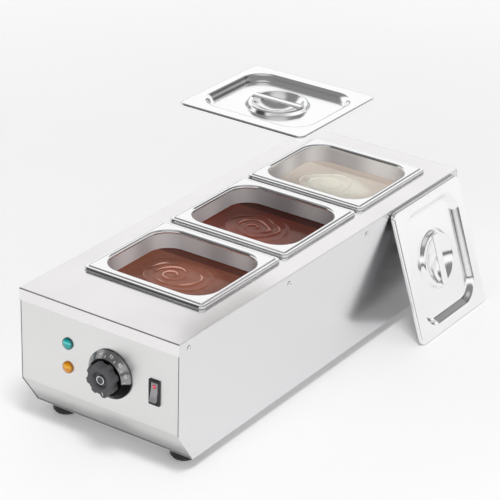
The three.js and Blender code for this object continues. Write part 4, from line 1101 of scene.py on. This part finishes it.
def numeral_mesh(number):
    """A plain number's flat shape, standing on the line y = 0 and centred on x = 0."""
    curve = bpy.data.curves.new("numeral", "FONT")
    curve.body = str(number)
    curve.align_x = "CENTER"
    curve.size = NUMERAL_HEIGHT
    curve.resolution_u = NUMERAL_STEPS
    holder = bpy.data.objects.new("numeral", curve)
    data = holder.to_mesh()
    mesh = bmesh.new()
    mesh.from_mesh(data)
    holder.to_mesh_clear()
    bpy.data.objects.remove(holder)
    bpy.data.curves.remove(curve)
    return mesh


def skirt_marks():
    """All the numerals, and a tick between each two, laid on the skirt."""
    marks = bmesh.new()
    for index, number in enumerate(NUMERALS):
        angle = LAST_NUMERAL_ANGLE + (len(NUMERALS) - 1 - index) * NUMERAL_PITCH
        numeral = numeral_mesh(number)
        for corner in numeral.verts:
            up = corner.co.y - NUMERAL_HEIGHT * NUMERAL_DROP_SHARE
            corner.co = on_skirt(corner.co.x, up, angle)
        held = baked(numeral, "held")
        marks.from_mesh(held)
        bpy.data.meshes.remove(held)
        tick_angle = angle - NUMERAL_PITCH / 2
        tick = [(x * TICK_WIDTH, y * TICK_LENGTH - TICK_DROP) for x, y in UNIT_SQUARE]
        marks.faces.new([marks.verts.new(on_skirt(x, y, tick_angle)) for x, y in tick])
    return marks


def grip_ring(radius, height, fluted=True):
    points = []
    for step in range(GRIP_STEPS):
        turn = 2 * math.pi * step / GRIP_STEPS
        reach = radius
        if fluted:
            flute = min(1, max(0, 0.5 - GRIP_FLUTE_STEEPNESS * math.cos(GRIP_LOBES * turn)))
            point = max(0, math.cos(turn)) ** GRIP_POINTER_SHARPNESS
            reach += GRIP_LOBE_RISE - GRIP_FLUTE_DEPTH * flute + GRIP_POINTER * point
        angle = turn + math.radians(POINTER_ANGLE)
        points.append((reach * math.cos(angle), reach * math.sin(angle), height))
    return points


def grip_mesh():
    """The fluted grip, rounded over its front edge and dished round the cap."""
    shoulder = GRIP_FRONT - GRIP_EDGE
    rings = [grip_ring(GRIP_RADIUS, GRIP_BACK), grip_ring(GRIP_RADIUS, shoulder)]
    for inset, rise in arc((GRIP_EDGE, 0), GRIP_EDGE, *GRIP_EDGE_ANGLES, EDGE_STEPS):
        rings.append(grip_ring(GRIP_RADIUS - inset, shoulder + rise))
    dish_out = GRIP_DISH_RADIUS + GRIP_DISH_EDGE
    dish_shoulder = GRIP_FRONT - GRIP_DISH_EDGE
    for inset, rise in arc((0, 0), GRIP_DISH_EDGE, 90, 0, SMALL_BEND_STEPS):
        rings.append(grip_ring(dish_out - inset, dish_shoulder + rise, fluted=False))
    foot = GRIP_DISH_RADIUS - GRIP_DISH_SLOPE
    return loft(rings + [grip_ring(foot, GRIP_FRONT - GRIP_DISH_DEPTH, fluted=False)])


def pointer_mark():
    place = turn_about("Z", POINTER_ANGLE) @ at(GRIP_RADIUS - POINTER_FROM_EDGE, 0, GRIP_FRONT + INK / 2)
    mark = bevelled(bar(POINTER_LENGTH, POINTER_WIDTH, INK), INK / 4)
    bmesh.ops.transform(mark, matrix=place, verts=mark.verts)
    return mark


CAP_BACK = GRIP_FRONT - GRIP_DISH_DEPTH + GAP


def cap_mesh():
    brim_middle = (CAP_RADIUS - CAP_BRIM, CAP_BACK + CAP_HEIGHT - CAP_BRIM)
    brim = arc(brim_middle, CAP_BRIM, 0, 180, 2 * BEND_STEPS)
    floor = (CAP_RADIUS - 2 * CAP_BRIM, CAP_BACK + CAP_FLOOR)
    return turned([(CAP_RADIUS, CAP_BACK)] + brim + [floor], SMALL_ROUND_STEPS)


def cap_inlay_mesh():
    base = CAP_BACK + CAP_FLOOR + INK
    radius = CAP_RADIUS - 2 * CAP_BRIM - GAP
    front = dome(radius, CAP_INLAY_DOME, BEND_STEPS)
    profile = [(radius, base)] + [(reach, base + CAP_INLAY_RISE + rise) for reach, rise in front]
    return turned(profile, SMALL_ROUND_STEPS)


def dress_dial():
    middle = box_middle("dial_skirt")
    place = facing_front(middle.x, casing_front, middle.z)
    body = "thermostat_knob"
    remade("dial_skirt", skirt_mesh(), place, skirt_with_painted_sheen)
    piece("dial_marks", skirt_marks(), place, white_ink, body)
    remade("knob_grip", grip_mesh(), place, grip_plastic)
    piece("pointer_mark", pointer_mark(), place, white_ink, body)
    remade("knob_cap", cap_mesh(), place, bright_chrome)
    piece("knob_cap_inlay", cap_inlay_mesh(), place, grip_plastic, body)


# Pilot lamps: a lens with a rounded rim and low rays
def lens_mesh():
    rim = arc((LENS_RADIUS - LENS_RIM, LENS_EDGE - LENS_RIM), LENS_RIM, 0, 90)
    rings = [round_ring(reach, height) for reach, height in [(LENS_RADIUS, 0)] + rim]
    inner = LENS_RADIUS - LENS_RIM - LENS_GROOVE
    for reach, height in dome(inner, LENS_DOME, LENS_STEPS):
        ring = []
        for x, y, _ in round_ring(reach, 0):
            ray = LENS_RAY * math.cos(LENS_FACETS * math.atan2(y, x)) * math.sin(math.pi * reach / inner)
            ring.append((x, y, LENS_EDGE - LENS_SINK + height + ray))
        rings.append(ring)
    return loft(rings)


def dress_lamps():
    for colour, lens in (("green", green_lens), ("orange", orange_lens)):
        node = f"{colour}_lamp_lens"
        middle = box_middle(node)
        place = facing_front(middle.x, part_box(node)[1][1], middle.z)
        remade(node, lens_mesh(), place, lens)


# Rocker switch: a rounded frame, a hollowed rocker and a small red lens
def rocker_face(height):
    """How far the hollowed face stands in front of the pivot, at a height along it."""
    return ROCKER_FRONT - ROCKER_DIP * (1 - (height / ROCKER_REACH) ** 2)


def rocker_mesh():
    outline = [(-ROCKER_FRONT, -ROCKER_REACH)]
    outline += [(ROCKER_BACK, ROCKER_BACK - ROCKER_REACH), (ROCKER_BACK, ROCKER_REACH - ROCKER_BACK)]
    for step in range(ROCKER_STEPS):
        height = ROCKER_REACH * (1 - 2 * step / ROCKER_STEPS)
        outline.append((-rocker_face(height), height))
    mesh = extruded(outline, -ROCKER_WIDTH / 2, ROCKER_WIDTH / 2)
    return bevelled(mesh, ROCKER_EDGE, ROCKER_EDGE_ANGLE)


def red_lens_mesh():
    front = [(radius, RED_LENS_EDGE + rise) for radius, rise in dome(RED_LENS_RADIUS, RED_LENS_DOME)]
    return turned([(RED_LENS_RADIUS, 0)] + front, SMALL_ROUND_STEPS)


def dress_switch():
    softened("switch_housing", black_plastic, FITTING_EDGE_RADIUS, SMALL_BEND_STEPS)
    hinge = next(joint for joint in frame["joints"] if joint["name"] == "rocker_tip")
    place = at(*hinge["pos_m"]) @ turn_about("X", -ROCKER_SWING)
    remade("switch_rocker", rocker_mesh(), place, rocker_plastic)
    seat = rocker_face(RED_LENS_HEIGHT) - RED_LENS_SINK
    lens_place = place @ facing_front(0, -seat * MM, RED_LENS_HEIGHT * MM)
    remade("switch_lens", red_lens_mesh(), lens_place, red_lens)


# Floor, light and camera
def plain_floor():
    mesh = bmesh.new()
    bmesh.ops.create_grid(mesh, x_segments=1, y_segments=1, size=FLOOR_HALF_SIZE)
    floor = added("floor", baked(mesh, "floor"))
    floor.location.z = -FLOOR_DROP
    material, tree, principled = shader("floor")
    tone = tinted(tree, stretched_noise(tree, FLOOR_CLOUDS), *FLOOR_TONES)
    across, along, _ = place_parts(tree)
    far = stepped(tree, distance_out(tree, across, along), *FLOOR_FADE)
    more = calculated(tree, "MULTIPLY", far, FLOOR_FAR_GLOW - FLOOR_GLOW)
    glow = calculated(tree, "ADD", more, FLOOR_GLOW)
    glow = calculated(tree, "MULTIPLY", seen_or_mirrored(tree), glow)
    feed(tree, principled, {
        "Base Color": tone, "Roughness": 0.6, "Emission Color": (1, 1, 1), "Emission Strength": glow})
    floor.data.materials.append(material)


def softbox(name, place, size, power):
    """A square lamp that looks at the casing's top and doesn't show in mirrors."""
    light = bpy.data.lights.new(name, "AREA")
    light.size = size
    light.energy = power
    lamp = added(name, light)
    lamp.location = place
    lamp.rotation_euler = (box_middle("top_cover") - Vector(place)).to_track_quat("-Z", "Y").to_euler()
    lamp.visible_glossy = False


def seen_or_mirrored(tree):
    """One where a surface is seen directly, in metal or through a lens, and nought for its light."""
    path = fed(tree, "LightPath", {}).outputs
    either = calculated(tree, "MAXIMUM", path["Is Camera Ray"], path["Is Glossy Ray"])
    return calculated(tree, "MAXIMUM", either, path["Is Transmission Ray"])


def studio_spot(tree, direction, before, azimuth, elevation, reach, level):
    """A soft round light or flag in the studio's surroundings, as wide as its reach in degrees."""
    turn = math.radians(azimuth)
    rise = math.radians(elevation)
    towards = (math.cos(rise) * math.cos(turn), math.cos(rise) * math.sin(turn), math.sin(rise))
    facing = fed(tree, "VectorMath", {0: direction, 1: towards})
    facing.operation = "DOT_PRODUCT"
    edges = [math.radians(reach * share) for share in (1 + SPOT_BLUR_SHARE, 1 - SPOT_BLUR_SHARE)]
    mask = stepped(tree, facing.outputs["Value"], *(math.cos(edge) for edge in edges))
    return fed(tree, "Mix", {"Factor": mask, "A": before, "B": level}).outputs["Result"]


def studio_world():
    """Rings of soft cloth and black flags round the object, with a few spots."""
    world = bpy.data.worlds.new("studio")
    bpy.context.scene.world = world
    world.use_nodes = True
    tree = world.node_tree
    direction = fed(tree, "TexCoord", {}).outputs["Generated"]
    height = fed(tree, "SeparateXYZ", {"Vector": direction}).outputs["Z"]
    ramp = fed(tree, "ValToRGB", {"Fac": height})
    stops = ramp.color_ramp.elements
    while len(stops) < len(RING_LEVELS):
        stops.new(1)
    for stop, (elevation, level) in zip(stops, RING_LEVELS):
        stop.position = math.sin(math.radians(elevation))
        stop.color = (level, level, level, 1)
    level = ramp.outputs["Color"]
    for _, *spot in SPOTS:
        level = studio_spot(tree, direction, level, *spot)
    feed(tree, tree.nodes["Background"], {"Color": (1, 1, 1), "Strength": level})


def photo_camera():
    camera = bpy.data.cameras.new("camera")
    camera.sensor_width = SENSOR_WIDTH
    camera.lens = CAMERA_LENS
    holder = added("camera", camera)
    turn = turn_about("Z", CAMERA_AZIMUTH)
    tilt = turn_about("X", 90 - CAMERA_ELEVATION)
    roll = turn_about("Z", CAMERA_ROLL)
    holder.matrix_world = at(*CAMERA_PLACE) @ turn @ tilt @ roll
    bpy.context.scene.camera = holder


photo_camera()
studio_world()
softbox("key", KEY_PLACE, KEY_SIZE, KEY_POWER)
plain_floor()
dress_casing()
dress_seams()
dress_feet()
dress_inside()
dress_side_screws()
dress_pans()
dress_lids()
dress_dial()
dress_lamps()
dress_switch()

bpy.context.scene.view_settings.view_transform = "Standard"
